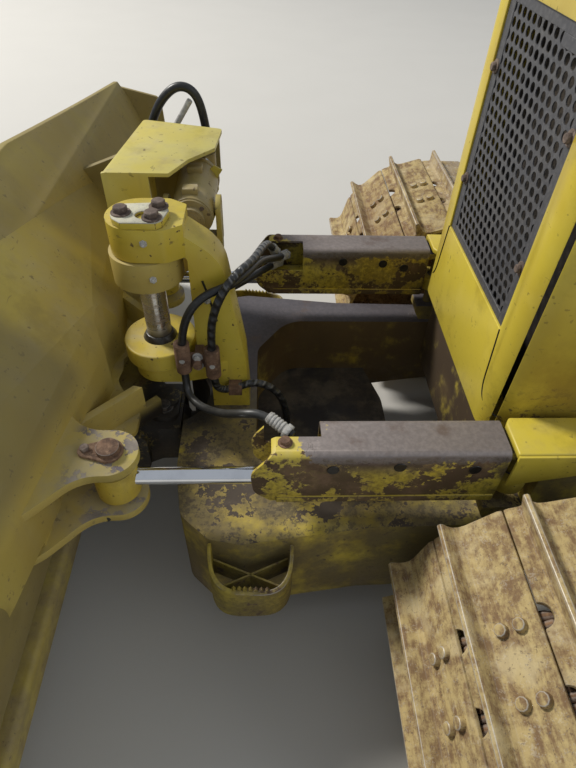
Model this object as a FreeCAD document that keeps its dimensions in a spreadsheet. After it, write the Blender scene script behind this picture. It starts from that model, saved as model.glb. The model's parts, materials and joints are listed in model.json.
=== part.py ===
import FreeCAD, Part
import math
import os
import re
from types import SimpleNamespace
from FreeCAD import Placement, Rotation, Vector

# Crawler bulldozer with a power-angle-tilt blade. Millimetres, +X forward, +Y left, +Z up,
# z = 0 on the ground under the tracks.

# Driving sizes: name, millimetres (degrees or a count where the name says so)
SIZES = (
    ("track_gauge", 2060), ("shoe_width", 710), ("idler_x", 745), ("sprocket_x", -1905), ("shoe_radius", 420),
    ("shoe_thick", 16), ("grouser_height", 55), ("grouser_tip", 16), ("grouser_foot", 34), ("shoe_count", 38),
    ("rail_inner", 60), ("rail_thick", 45), ("rail_height", 95), ("seat_gap", 0.3),
    ("roller_radius", 95), ("roller_count", 7), ("roller_first_x", -1400), ("roller_pitch", 290),
    ("carrier_radius", 75), ("carrier_count", 2), ("carrier_first_x", -1000), ("carrier_pitch", 700),
    ("frame_half", 125), ("frame_low", 365), ("frame_high", 560), ("roller_guard_low", 215), ("roller_guard_high", 375), ("guard_plate", 18),
    ("sprocket_teeth", 23), ("sprocket_tip", 360), ("sprocket_root", 322), ("sprocket_half", 38),
    ("final_drive_radius", 200), ("hull_half", 390), ("hull_plate", 60), ("hull_low", 420), ("hull_high", 810),
    ("hull_rear_x", -2250), ("hull_front_x", 880), ("case_front_x", -1500), ("case_high", 1060),
    ("cross_beam_x", -1020), ("cross_beam_length", 200), ("cross_beam_low", 380), ("cross_beam_high", 560),
    ("lift_pivot_x", -775), ("lift_pivot_z", 430), ("lift_pin_radius", 45), ("pin_fit", 0.05),
    ("engine_rear_x", -380), ("engine_front_x", 480), ("engine_half", 300), ("engine_high", 1500),
    ("radiator_rear_x", 700), ("radiator_front_x", 820), ("radiator_half", 325), ("radiator_high", 1780),
    ("nose_front_x", 935), ("nose_rear_x", 640), ("nose_half", 410), ("nose_high", 1880), ("nose_plate", 20),
    ("nose_corner", 85), ("grille_half", 283), ("grille_low", 1120), ("grille_high", 1800), ("grille_plate", 12),
    ("hood_rear_x", -425), ("hood_low", 930), ("hood_plate", 14),
    ("stack_x", 150), ("stack_y", 150), ("stack_radius", 55), ("stack_high", 2520),
    ("cleaner_x", -150), ("cleaner_y", -180), ("cleaner_radius", 100), ("cleaner_high", 2240),
    ("cab_half", 620), ("cab_wall", 60), ("cab_rear_x", -1825), ("cab_belt", 1900), ("cab_top", 2960), ("cab_floor", 1150),
    ("cab_lean", 95), ("roof_thick", 90), ("roof_half", 690), ("roof_overhang", 60),
    ("door_front_x", -590), ("door_rear_x", -1390), ("door_low", 1230), ("door_drop", 110), ("door_thick", 40), ("door_gap", 6),
    ("hinge_x", -1394), ("hinge_out", 18), ("hinge_radius", 16), ("hinge_pin_radius", 9),
    ("pillar", 90), ("glass_thick", 8),
    ("fender_front_x", -50), ("fender_rear_x", -1850), ("fender_half", 1385), ("fender_high", 1110), ("fender_plate", 12),
    ("tank_rear_x", -2290), ("tank_half", 560), ("tank_high", 1760),
    ("drawbar_end_x", -2575), ("drawbar_half", 70), ("drawbar_low", 370), ("drawbar_high", 450), ("drawbar_bore", 22),
    # The C-frame, its tower and the blade's pivot
    ("swing_x", 1925), ("frame_top", 580), ("frame_bottom", 190), ("arm_inner", 435), ("arm_outer", 560),
    ("bar_front_x", 1865), ("bar_rear_x", 1605), ("ball_z", 430), ("ball_radius", 75), ("ball_fit", 1),
    ("ball_neck", 38), ("ball_notch", 145), ("socket_radius", 118), ("socket_cut", 40), ("socket_low", 345), ("socket_high", 515),
    ("pan_low", 285), ("pan_high", 305), ("pan_rear_x", 1060),
    ("tower_half", 60), ("head_half", 95), ("head_low", 1200), ("head_high", 1300), ("shelf_low", 735), ("shelf_high", 800),
    ("flange_radius", 118), ("flange_high", 865), ("swing_pin_radius", 40), ("hub_low", 1102), ("hub_high", 1196), ("hub_radius", 105), ("swivel_arm_low", 1035), ("swivel_arm_high", 1085),
    ("hub_fit", 0.3),
    # Angle cylinders
    ("angle_y", 500), ("angle_z", 760), ("angle_pin_x", 1995), ("angle_rear_x", 870), ("angle_rod_radius", 25),
    ("angle_barrel_radius", 52), ("angle_bore_radius", 41), ("angle_gland_x", 1560), ("eye_radius", 62), ("eye_half", 54),
    ("ear_gap", 80), ("ear_thick", 28), ("ear_radius", 78), ("pin_radius", 31), ("cover_front_x", 1615), ("cover_rear_x", 855),
    ("cover_half", 66), ("cover_plate", 8), ("cover_high", 930), ("cover_low", 730), ("link_ball_radius", 36), ("link_pin_radius", 18), ("pin_ball_radius", 25),
    ("bracket_rear_x", 640), ("bracket_half", 55), ("hose_radius", 13), ("hose_y", 116), ("notch_rear_x", 1440), ("notch_front_x", 1560),
    # Lift cylinders
    ("lift_y", 498), ("trunnion_x", 300), ("trunnion_z", 1300), ("lift_eye_x", 525), ("lift_eye_z", 650), ("lift_eye_radius", 50),
    ("lift_barrel_radius", 55), ("lift_barrel_below", 140), ("lift_barrel_above", 690), ("lift_rod_radius", 30), ("lift_bore_radius", 45),
    # Tilt cylinder
    ("tilt_x", 1810), ("tilt_z", 1185), ("tilt_trunnion_y", -260), ("tilt_near_y", -195), ("tilt_gland_y", -500), ("tilt_eye_y", -650),
    ("tilt_barrel_radius", 70), ("tilt_bore_radius", 56), ("tilt_rod_radius", 32), ("tilt_eye_radius", 50), ("tilt_eye_half", 30),
    ("tilt_ear_gap", 56), ("tilt_ear_thick", 20),
    # Blade
    ("blade_half", 1650), ("blade_tip_x", 2575), ("blade_tip_z", 15), ("blade_straight", 300), ("blade_top_x", 2490), ("blade_top_z", 1310), ("blade_top_half", 450), ("corner_drop", 145),
    ("edge_angle_degrees", 52), ("edge_thick", 20), ("edge_height", 170), ("mould_thick", 16), ("end_plate", 20),
    ("box_rear_x", 2078), ("box_low", 700), ("box_high", 868), ("box_end_y", 1560), ("fold_y", 650), ("step_out", 745), ("step_low", 300), ("step_top", 579),
    ("guard_high", 1312), ("guard_sheet", 12),
)

doc = FreeCAD.newDocument("Bulldozer")
sheet = doc.addObject("Spreadsheet::Sheet", "Sizes")
for row, (alias, amount) in enumerate(SIZES, start=1):
    sheet.set(f"A{row}", alias)
    sheet.set(f"B{row}", str(amount))
    sheet.setAlias(f"B{row}", alias)
doc.recompute()
s = SimpleNamespace(**{alias: float(amount) for alias, amount in SIZES})
KNOWN = re.compile(r"\b(" + "|".join(alias for alias, _ in SIZES) + r")\b")


def bind(obj, prop, formula):
    """Ties a property to the sheet: formula is written with the sizes' own names."""
    obj.setExpression(prop, KNOWN.sub(r"Sizes.\1", str(formula)))


def corner_edges(corners):
    """Edges of a closed outline of (u, v) or (u, v, radius) corners, rounded by arcs."""
    points = [Vector(corner[0], corner[1], 0) for corner in corners]
    count = len(points)
    starts, ends, arcs = [], [], []
    for i, corner in enumerate(corners):
        here, before, after = points[i], points[i - 1], points[(i + 1) % count]
        radius = corner[2] if len(corner) > 2 else 0
        if radius <= 0:
            starts.append(here)
            ends.append(here)
            arcs.append(None)
            continue
        back = (before - here).normalize()
        ahead = (after - here).normalize()
        half = back.getAngle(ahead) / 2
        reach = radius / math.tan(half)
        middle = here + (back + ahead).normalize() * (radius / math.sin(half))
        first, last = here + back * reach, here + ahead * reach
        crown = middle + (here - middle).normalize() * radius
        starts.append(first)
        ends.append(last)
        arcs.append(Part.Arc(first, crown, last))
    edges = []
    for i in range(count):
        if arcs[i]:
            edges.append(arcs[i])
        following = starts[(i + 1) % count]
        if (following - ends[i]).Length > 1e-6:
            edges.append(Part.LineSegment(ends[i], following))
    return edges


def new_sketch(body, name, plane, loops):
    sketch = body.newObject("Sketcher::SketchObject", name + "_outline")
    origin = [feature for feature in body.Origin.OriginFeatures if feature.Role == plane + "_Plane"][0]
    sketch.AttachmentSupport = [(origin, "")]
    sketch.MapMode = "FlatFace"
    for loop in loops:
        for edge in loop:
            sketch.addGeometry(edge, False)
    return sketch


def pad(name, plane, corners, width, middle=0, holes=()):
    """A plate or block: an outline on a plane, padded to both sides of `middle`."""
    body = doc.addObject("PartDesign::Body", name)
    loops = [corner_edges(corners)] + [corner_edges(hole) for hole in holes]
    feature = body.newObject("PartDesign::Pad", name + "_pad")
    feature.Profile = new_sketch(body, name, plane, loops)
    feature.SideType = "Symmetric"
    bind(feature, "Length", width)
    along = {"XY": "z", "XZ": "y", "YZ": "x"}[plane]
    bind(body, ".Placement.Base." + along, middle)
    return body


def turned(name, profile, base, direction):
    """A turned piece: (along, radius) corners spun about the piece's own axis."""
    body = doc.addObject("PartDesign::Body", name)
    feature = body.newObject("PartDesign::Revolution", name + "_spin")
    sketch = new_sketch(body, name, "XY", [corner_edges(profile)])
    feature.Profile = sketch
    feature.ReferenceAxis = (sketch, ["H_Axis"])
    feature.Angle = 360
    body.Placement = Placement(Vector(0, 0, 0), Rotation(Vector(1, 0, 0), Vector(*direction)))
    for axis, amount in zip("xyz", base):
        bind(body, ".Placement.Base." + axis, amount)
    return body


def box(name, x, y, z):
    """A block between two places on each axis, each a formula."""
    block = doc.addObject("Part::Box", name)
    for prop, axis, (low, high) in zip(("Length", "Width", "Height"), "xyz", (x, y, z)):
        bind(block, prop, f"({high}) - ({low})")
        bind(block, ".Placement.Base." + axis, low)
    return block


def rod(name, radius, length, base, direction=(0, 0, 1)):
    """A round bar from `base` along `direction`."""
    bar = doc.addObject("Part::Cylinder", name)
    bar.Placement = Placement(Vector(0, 0, 0), Rotation(Vector(0, 0, 1), Vector(*direction)))
    bind(bar, "Radius", radius)
    bind(bar, "Height", length)
    for axis, amount in zip("xyz", base):
        bind(bar, ".Placement.Base." + axis, amount)
    return bar


def ball(name, radius, base):
    sphere = doc.addObject("Part::Sphere", name)
    bind(sphere, "Radius", radius)
    for axis, amount in zip("xyz", base):
        bind(sphere, ".Placement.Base." + axis, amount)
    return sphere


def fuse(name, *pieces):
    joined = doc.addObject("Part::MultiFuse", name)
    joined.Shapes = list(pieces)
    joined.Refine = True
    return joined


def cut(name, base, tool):
    result = doc.addObject("Part::Cut", name)
    result.Base = base
    result.Tool = tool
    result.Refine = True
    return result


def group(name, *pieces):
    """Like pieces that share a node and don't touch."""
    together = doc.addObject("Part::Compound", name)
    together.Links = list(pieces)
    return together


def mirrored(name, source):
    """The right-hand piece, mirrored across the machine's centre plane."""
    other = doc.addObject("Part::Mirroring", name)
    other.Source = source
    other.Base = Vector(0, 0, 0)
    other.Normal = Vector(0, 1, 0)
    return other


nodes = {}


def node(label, obj):
    obj.Label = label
    nodes[label] = obj
    return obj


def both_sides(stem, left):
    node(stem + "_left", left)
    node(stem + "_right", mirrored(stem + "_mirror", left))


half_gauge = s.track_gauge / 2
wheel_z = s.shoe_radius + s.grouser_height


# Tracks: one closed loop each, with the shoes and their grousers in its outline
def along_loop(radius, travel, out=0):
    """A point `travel` along the loop of the given radius round idler and sprocket, `out` beyond it."""
    span = s.idler_x - s.sprocket_x
    arc = math.pi * radius
    travel = travel % (2 * span + 2 * arc)
    reach = radius + out
    if travel < span:
        return s.sprocket_x + travel, wheel_z + reach
    travel -= span
    if travel < arc:
        turn = math.pi / 2 - travel / radius
        return s.idler_x + reach * math.cos(turn), wheel_z + reach * math.sin(turn)
    travel -= arc
    if travel < span:
        return s.idler_x - travel, wheel_z - reach
    turn = -math.pi / 2 - (travel - span) / radius
    return s.sprocket_x + reach * math.cos(turn), wheel_z + reach * math.sin(turn)


def loop_edges(radius):
    """The plain loop of a belt round idler and sprocket."""
    front, rear = s.idler_x, s.sprocket_x
    top, low = wheel_z + radius, wheel_z - radius
    return [Part.LineSegment(Vector(rear, top, 0), Vector(front, top, 0)),
            Part.Arc(Vector(front, top, 0), Vector(front + radius, wheel_z, 0), Vector(front, low, 0)),
            Part.LineSegment(Vector(front, low, 0), Vector(rear, low, 0)),
            Part.Arc(Vector(rear, low, 0), Vector(rear - radius, wheel_z, 0), Vector(rear, top, 0))]


def belt(name, loops, width, middle):
    body = doc.addObject("PartDesign::Body", name)
    feature = body.newObject("PartDesign::Pad", name + "_pad")
    feature.Profile = new_sketch(body, name, "XZ", loops)
    feature.SideType = "Symmetric"
    bind(feature, "Length", width)
    bind(body, ".Placement.Base.y", middle)
    return body


loop_length = 2 * (s.idler_x - s.sprocket_x) + 2 * math.pi * s.shoe_radius
shoe_pitch = loop_length / s.shoe_count
shoe_outline = []
for shoe in range(int(s.shoe_count)):
    middle = (shoe + 0.5) * shoe_pitch
    for offset, out in ((-s.grouser_foot / 2, 0), (-s.grouser_tip / 2, s.grouser_height),
                        (s.grouser_tip / 2, s.grouser_height), (s.grouser_foot / 2, 0)):
        shoe_outline.append(along_loop(s.shoe_radius, middle + offset, out))
shoe_inner = s.shoe_radius - s.shoe_thick
shoes = belt("shoes", [corner_edges(shoe_outline), loop_edges(shoe_inner)], "shoe_width", "track_gauge / 2")
rails = [belt(f"rail_{side}", [loop_edges(shoe_inner + 2), loop_edges(shoe_inner - s.rail_height)], "rail_thick",
              f"track_gauge / 2 + {sign} * (rail_inner + rail_thick / 2)")
         for side, sign in (("out", 1), ("in", -1))]
both_sides("track", fuse("track_loop", shoes, *rails))
rail_face = shoe_inner - s.rail_height

# Track frames with bottom rollers, carrier rollers and the idler's fork
frame_box = pad("frame_box", "XZ", [(-1530, s.frame_low), (400, s.frame_low), (400, s.frame_high, 60),
                                    (-1470, s.frame_high, 90), (-1530, 470)], "2 * frame_half", "track_gauge / 2")
roller_z = wheel_z - rail_face + s.roller_radius + s.seat_gap
pieces = [frame_box]
for side, sign in (("out", 1), ("in", -1)):
    pieces.append(pad(f"roller_guard_{side}", "XZ", [(-1520, s.roller_guard_low, 60), (440, s.roller_guard_low, 60), (440, s.roller_guard_high), (-1520, s.roller_guard_high)],
                      "guard_plate", f"track_gauge / 2 + {sign} * (frame_half + guard_plate / 2 - 1)"))
    pieces.append(pad(f"idler_arm_{side}", "XZ", [(330, 430), (s.idler_x + 70, 430, 40), (s.idler_x + 70, 520, 40), (330, 520)],
                      "30", f"track_gauge / 2 + {sign} * (frame_half + 6)"))
for i in range(int(s.roller_count)):
    x = f"roller_first_x + {i} * roller_pitch"
    pieces.append(rod(f"roller_axle_{i}", "28", "2 * frame_half + 20", (x, "track_gauge / 2 - frame_half - 10", roller_z), (0, 1, 0)))
    pieces.append(rod(f"roller_{i}", "roller_radius", "2 * frame_half - 24", (x, "track_gauge / 2 - frame_half + 12", roller_z), (0, 1, 0)))
carrier_z = wheel_z + rail_face - s.carrier_radius - s.seat_gap
for i in range(int(s.carrier_count)):
    x = f"carrier_first_x + {i} * carrier_pitch"
    pieces.append(rod(f"carrier_{i}", "carrier_radius", "2 * frame_half - 20", (x, "track_gauge / 2 - frame_half + 10", carrier_z), (0, 1, 0)))
    pieces.append(box(f"carrier_post_{i}", (f"{x} - 35", f"{x} + 35"), ("track_gauge / 2 - 40", "track_gauge / 2 + 40"),
                      ("frame_high - 10", f"{carrier_z} - carrier_radius + 20")))
both_sides("track_frame", fuse("track_frame_solid", *pieces))

idler = turned("idler_wheel", [(-108, rail_face - 62), (-108, rail_face - s.seat_gap), (-54, rail_face - s.seat_gap), (-54, rail_face + 20),
                               (54, rail_face + 20), (54, rail_face - s.seat_gap), (108, rail_face - s.seat_gap), (108, rail_face - 62),
                               (24, rail_face - 82), (24, 100), (112, 88), (112, 42), (-112, 42), (-112, 88), (-24, 100),
                               (-24, rail_face - 82)],
               ("idler_x", "track_gauge / 2", wheel_z), (0, 1, 0))
idler_shaft = rod("idler_shaft", "42.5", "2 * (frame_half - 9 - seat_gap)", ("idler_x", "track_gauge / 2 - frame_half + 9 + seat_gap", wheel_z), (0, 1, 0))
both_sides("idler", fuse("idler_solid", idler, idler_shaft))

tooth_outline = []
for tooth in range(int(s.sprocket_teeth)):
    for share, radius in ((0.0, s.sprocket_root), (0.3, s.sprocket_root), (0.52, s.sprocket_tip), (0.78, s.sprocket_tip)):
        turn = 2 * math.pi * (tooth + share) / s.sprocket_teeth
        tooth_outline.append((s.sprocket_x + radius * math.cos(turn), wheel_z + radius * math.sin(turn)))
sprocket_blank = pad("sprocket_blank", "XZ", tooth_outline, "2 * sprocket_half", "track_gauge / 2")
sprocket_hole = rod("sprocket_hole", "final_drive_radius + seat_gap", "4 * sprocket_half", ("sprocket_x", "track_gauge / 2 - 2 * sprocket_half", wheel_z), (0, 1, 0))
both_sides("sprocket", cut("sprocket_ring", sprocket_blank, sprocket_hole))

# Main frame: channel hull, rear case, cross beams, lift pivots and final drives
hull = pad("hull", "YZ", [(-s.hull_half, s.hull_low, 30), (s.hull_half, s.hull_low, 30), (s.hull_half, s.hull_high), (s.hull_half - s.hull_plate, s.hull_high),
                          (s.hull_half - s.hull_plate, s.hull_low + 30), (-s.hull_half + s.hull_plate, s.hull_low + 30),
                          (-s.hull_half + s.hull_plate, s.hull_high), (-s.hull_half, s.hull_high)],
           "hull_front_x - hull_rear_x", "(hull_front_x + hull_rear_x) / 2")
hull_pieces = [hull,
               box("hull_front", ("hull_front_x - 25", "hull_front_x"), ("-hull_half", "hull_half"), ("hull_low + 20", "hull_high")),
               box("rear_case", ("hull_rear_x", "case_front_x"), ("-hull_half + 20", "hull_half - 20"), ("hull_low + 20", "case_high"))]
for side, sign in (("left", 1), ("right", -1)):
    low = "hull_half - 10" if sign > 0 else "-(track_gauge / 2 - frame_half)"
    high = "track_gauge / 2 - frame_half" if sign > 0 else "-(hull_half - 10)"
    hull_pieces.append(box(f"cross_beam_{side}", ("cross_beam_x - cross_beam_length / 2", "cross_beam_x + cross_beam_length / 2"), (low, high),
                           ("cross_beam_low", "cross_beam_high")))
    reach = "track_gauge / 2 - frame_half - hull_half + 10"
    hull_pieces.append(rod(f"lift_pin_{side}", "lift_pin_radius", reach, ("lift_pivot_x", low, "lift_pivot_z"), (0, 1, 0)))
    drive_profile = [(0, 0), (0, 150), (190, 170), (230, s.final_drive_radius), (half_gauge - s.hull_half + 60, s.final_drive_radius, 10),
                     (half_gauge - s.hull_half + 130, 150, 30), (half_gauge - s.hull_half + 150, 0)]
    hull_pieces.append(turned(f"final_drive_{side}", drive_profile, ("sprocket_x", f"{sign} * (hull_half - 20)", wheel_z), (0, sign, 0)))
node("main_frame", fuse("main_frame_solid", *hull_pieces))

bar = pad("drawbar_bar", "XY", [(s.hull_rear_x, -150), (s.hull_rear_x, 150), (s.hull_rear_x - 60, 150, 30), (s.hull_rear_x - 160, s.drawbar_half, 60),
                                (s.drawbar_end_x, s.drawbar_half, 60), (s.drawbar_end_x, -s.drawbar_half, 60),
                                (s.hull_rear_x - 160, -s.drawbar_half, 60), (s.hull_rear_x - 60, -150, 30)],
          "drawbar_high - drawbar_low", "(drawbar_high + drawbar_low) / 2")
bar_throat = box("bar_throat", ("drawbar_end_x - 5", "drawbar_end_x + 150"), ("-drawbar_half - 5", "drawbar_half + 5"),
                 ("drawbar_low + 24", "drawbar_high - 24"))
bar_bore = rod("bar_bore", "drawbar_bore", "200", ("drawbar_end_x + 75", 0, "drawbar_low - 50"))
rear_plate = box("rear_plate", ("hull_rear_x - 20", "hull_rear_x"), ("-200", "200"), ("drawbar_low - 0", "drawbar_high + 60"))
node("drawbar", fuse("drawbar_solid", cut("drawbar_bored", cut("drawbar_forked", bar, bar_throat), bar_bore), rear_plate))

# Engine and radiator inside the hood
node("engine_block", box("engine", ("engine_rear_x", "engine_front_x"), ("-engine_half", "engine_half"), ("hull_low + 30 + seat_gap", "engine_high")))
node("radiator", box("radiator_core", ("radiator_rear_x", "radiator_front_x"), ("-radiator_half", "radiator_half"),
                     ("hull_low + 30 + seat_gap", "radiator_high")))

# Nose shell round the radiator, with the lift cylinders' carriers
nose_blank = pad("nose_blank", "XY", [(s.nose_rear_x, -s.nose_half), (s.nose_front_x, -s.nose_half, s.nose_corner),
                                      (s.nose_front_x, s.nose_half, s.nose_corner), (s.nose_rear_x, s.nose_half)],
                 "nose_high - hull_high - seat_gap", "(nose_high + hull_high + seat_gap) / 2")
nose_room = box("nose_room", ("nose_rear_x - 5", "nose_front_x - nose_plate"), ("-nose_half + nose_plate", "nose_half - nose_plate"),
                ("hull_high + 20", "nose_high - nose_plate"))
core_slot = box("core_slot", ("radiator_rear_x - 5", "radiator_front_x + 5"), ("-radiator_half - 4", "radiator_half + 4"), ("hull_high - 5", "hull_high + 30"))
grille_opening = box("grille_opening", ("nose_front_x - nose_plate - 5", "nose_front_x + 5"), ("-grille_half", "grille_half"), ("grille_low", "grille_high"))
nose_shell = cut("nose_shell", nose_blank, fuse("nose_tools", nose_room, core_slot, grille_opening))
node("nose", nose_shell)
grille_frame = box("grille_sheet", ("nose_front_x - nose_plate + 4", "nose_front_x - nose_plate + 4 + grille_plate"),
                   ("-grille_half + seat_gap", "grille_half - seat_gap"), ("grille_low + seat_gap", "grille_high - seat_gap"))
node("grille", grille_frame)

# Hood: top and side panels in one folded shell
hood_outer = pad("hood_outer", "YZ", [(-s.nose_half, s.hood_low), (s.nose_half, s.hood_low), (s.nose_half, s.nose_high, 60), (-s.nose_half, s.nose_high, 60)],
                 "nose_rear_x - hood_rear_x - 2 * seat_gap", "(nose_rear_x + hood_rear_x) / 2")
inside = s.nose_half - s.hood_plate
hood_inner = pad("hood_inner", "YZ", [(-inside, s.hood_low - 10), (inside, s.hood_low - 10), (inside, s.nose_high - s.hood_plate, 46),
                                      (-inside, s.nose_high - s.hood_plate, 46)], "nose_rear_x - hood_rear_x + 20", "(nose_rear_x + hood_rear_x) / 2")
carriers = []
for side, sign in (("left", 1), ("right", -1)):
    for name, a, b in (("inner", "nose_half - 2", "lift_y - 74"), ("outer", "lift_y + 74", "lift_y + 100"), ("rear", "nose_half - 2", "lift_y + 80")):
        y = (a, b) if sign > 0 else (f"-({b})", f"-({a})")
        x = ("trunnion_x - 135", "trunnion_x - 108") if name == "rear" else ("trunnion_x - 135", "trunnion_x + 52")
        z = ("trunnion_z - 70", "trunnion_z + 22") if name == "rear" else ("trunnion_z - 70", "trunnion_z + 60")
        carriers.append(box(f"carrier_{name}_{side}", x, y, z))
trunnion_bore = fuse("trunnion_bores", *[rod(f"trunnion_bore_{side}", "28", "250", ("trunnion_x", start, "trunnion_z"), (0, 1, 0))
                                         for side, start in (("left", "nose_half + 2"), ("right", "-nose_half - 252"))])
hood_shell = cut("hood_shell", hood_outer, hood_inner)
node("hood", cut("hood_bored", fuse("hood_fused", hood_shell, *carriers), trunnion_bore))

stack_base = rod("stack_base", "stack_radius + 18", "60", ("stack_x", "stack_y", "nose_high + seat_gap"))
stack_tube = rod("stack_tube", "stack_radius", "stack_high - nose_high - 120", ("stack_x", "stack_y", "nose_high + 20"))
stack_tip = rod("stack_tip", "stack_radius", "230", ("stack_x", "stack_y", "stack_high - 120"), (-0.7, 0, 0.72))
stack_bore = rod("stack_bore", "stack_radius - 6", "240", ("stack_x", "stack_y", "stack_high - 120"), (-0.7, 0, 0.72))
node("exhaust_stack", cut("stack_open", fuse("stack_solid", stack_base, stack_tube, stack_tip), stack_bore))
node("air_precleaner", turned("cleaner", [(0, 0), (0, 60), (120, 60), (150, s.cleaner_radius, 20), (300, s.cleaner_radius, 20),
                                          (s.cleaner_high - s.nose_high - s.seat_gap, 50, 20), (s.cleaner_high - s.nose_high - s.seat_gap, 0)],
                              ("cleaner_x", "cleaner_y", "nose_high + seat_gap"), (0, 0, 1)))

# Cab: floor, walls and pillars in one welded frame with its windows cut, roof, doors and glass
cab_front = s.hood_rear_x - s.seat_gap
door_high = s.cab_top - s.door_drop
hinge_low, hinge_high = s.door_low + 170, door_high - 150
cab_side = [(cab_front, s.case_high + s.seat_gap), (cab_front, s.cab_belt), (cab_front - s.cab_lean, s.cab_top), (s.cab_rear_x + 45, s.cab_top),
            (s.cab_rear_x, s.cab_belt), (s.cab_rear_x, s.case_high + s.seat_gap)]
cab_outer = pad("cab_outer", "XZ", cab_side, "2 * cab_half", 0)
wall = s.cab_wall
cab_room = pad("cab_room", "XZ", [(cab_front - wall, s.cab_floor), (cab_front - wall, s.cab_belt), (cab_front - s.cab_lean - wall, s.cab_top + 1),
                                  (s.cab_rear_x + 45 + wall, s.cab_top + 1), (s.cab_rear_x + wall, s.cab_belt), (s.cab_rear_x + wall, s.cab_floor)],
               "2 * (cab_half - cab_wall)", 0)
window_low, window_high = s.cab_belt - 330, s.cab_top - 90
front_window = box("front_window", (cab_front - s.cab_lean - 120, cab_front + 20), ("-cab_half + pillar", "cab_half - pillar"), (s.nose_high + 60, window_high))
rear_window = box("rear_window", ("cab_rear_x - 20", "cab_rear_x + 140"), ("-cab_half + pillar", "cab_half - pillar"), ("tank_high + 60", window_high))
door_hole = [(s.door_rear_x, s.door_low, 60), (s.door_front_x, s.door_low, 60), (s.door_front_x, s.cab_belt), (s.door_front_x - 60, door_high, 60),
             (s.door_rear_x, door_high, 60)]
door_holes = pad("door_holes", "XZ", door_hole, "2 * cab_half + 40", 0)
side_hole = [(s.cab_rear_x + s.pillar + 20, window_low + 200, 40), (s.door_rear_x - s.pillar, window_low + 200, 40),
             (s.door_rear_x - s.pillar, door_high, 40), (s.cab_rear_x + s.pillar + 50, door_high, 40)]
side_holes = pad("side_holes", "XZ", side_hole, "2 * cab_half + 40", 0)
cab_shell = cut("cab_cut", cab_outer, fuse("cab_tools", cab_room, front_window, rear_window, door_holes, side_holes))
hinge_places = [(f"{place}_{side}", z, sign) for place, z in (("low", hinge_low), ("high", hinge_high)) for side, sign in (("left", 1), ("right", -1))]
cab_hinges = []
for place, z, sign in hinge_places:
    y = f"{sign} * (cab_half + hinge_out)"
    cab_hinges.append(rod(f"hinge_pin_{place}", "hinge_pin_radius", "140", ("hinge_x", y, z - 70)))
    for end, low in (("top", z + 40.3), ("foot", z - 70)):
        cab_hinges.append(rod(f"hinge_{end}_{place}", "hinge_radius", "29.7", ("hinge_x", y, low)))
        near, far = ("cab_half - 2", "cab_half + hinge_out - 2") if sign > 0 else ("-cab_half - hinge_out + 2", "-cab_half + 2")
        cab_hinges.append(box(f"hinge_leaf_{end}_{place}", ("hinge_x - 60", "hinge_x"), (near, far), (low, low + 29.7)))
node("cab_frame", fuse("cab_frame_solid", cab_shell, *cab_hinges))


def inset(corners, amount, middle):
    """Moves an outline's corners straight towards a middle point by a fixed amount on each axis."""
    moved = []
    for corner in corners:
        u = corner[0] + math.copysign(amount, middle[0] - corner[0])
        v = corner[1] + math.copysign(amount, middle[1] - corner[1])
        moved.append((u, v) + tuple(corner[2:]))
    return moved


door_middle = ((s.door_front_x + s.door_rear_x) / 2, (s.door_low + door_high) / 2)
door_y = "cab_half - door_thick / 2 - 4"
door_blank = pad("door_blank", "XZ", inset(door_hole, s.door_gap, door_middle), "door_thick", door_y)
light = [(s.door_rear_x + 70, s.door_low + 330, 50), (s.door_front_x - 70, s.door_low + 330, 50), (s.door_front_x - 70, s.cab_belt),
         (s.door_front_x - 125, door_high - 70, 50), (s.door_rear_x + 70, door_high - 70, 50)]
door_light = pad("door_light", "XZ", light, "door_thick + 20", door_y)
door_handle = box("door_handle", ("door_front_x - 60", "door_front_x - 36"), ("cab_half - 6", "cab_half + 28"), ("door_low + 120", "door_low + 320"))
knuckles = []
for place, z, sign in hinge_places:
    if sign > 0:
        knuckles.append(rod(f"knuckle_{place}", "hinge_radius", "80", ("hinge_x", "cab_half + hinge_out", z - 40)))
        knuckles.append(box(f"door_leaf_{place}", ("hinge_x", "hinge_x + 70"), ("cab_half + 4", "cab_half + hinge_out - 2"), (z - 40, z + 40)))
        knuckles.append(box(f"leaf_foot_{place}", ("hinge_x + 16", "hinge_x + 70"), ("cab_half - 6", "cab_half + 6"), (z - 40, z + 40)))
hinge_bore = rod("hinge_bore", "hinge_pin_radius + pin_fit", hinge_high - hinge_low + 400, ("hinge_x", "cab_half + hinge_out", hinge_low - 200))
both_sides("cab_door", cut("door_hung", fuse("door_solid", cut("door_cut", door_blank, door_light), door_handle, *knuckles), hinge_bore))
both_sides("door_glass", pad("door_pane", "XZ", inset(light, s.seat_gap, (door_middle[0], s.cab_belt + 1)), "glass_thick", door_y))

glass_y = "cab_half - cab_wall / 2"
side_pane = pad("side_pane", "XZ", inset(side_hole, s.seat_gap, (s.cab_rear_x + 200, s.cab_belt + 200)), "glass_thick", glass_y)
pane_lean = s.cab_lean / (s.cab_top - s.cab_belt)


def front_face(z):
    """Where the cab's front stands at a height."""
    return cab_front - max(0.0, z - s.cab_belt) * pane_lean


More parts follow.
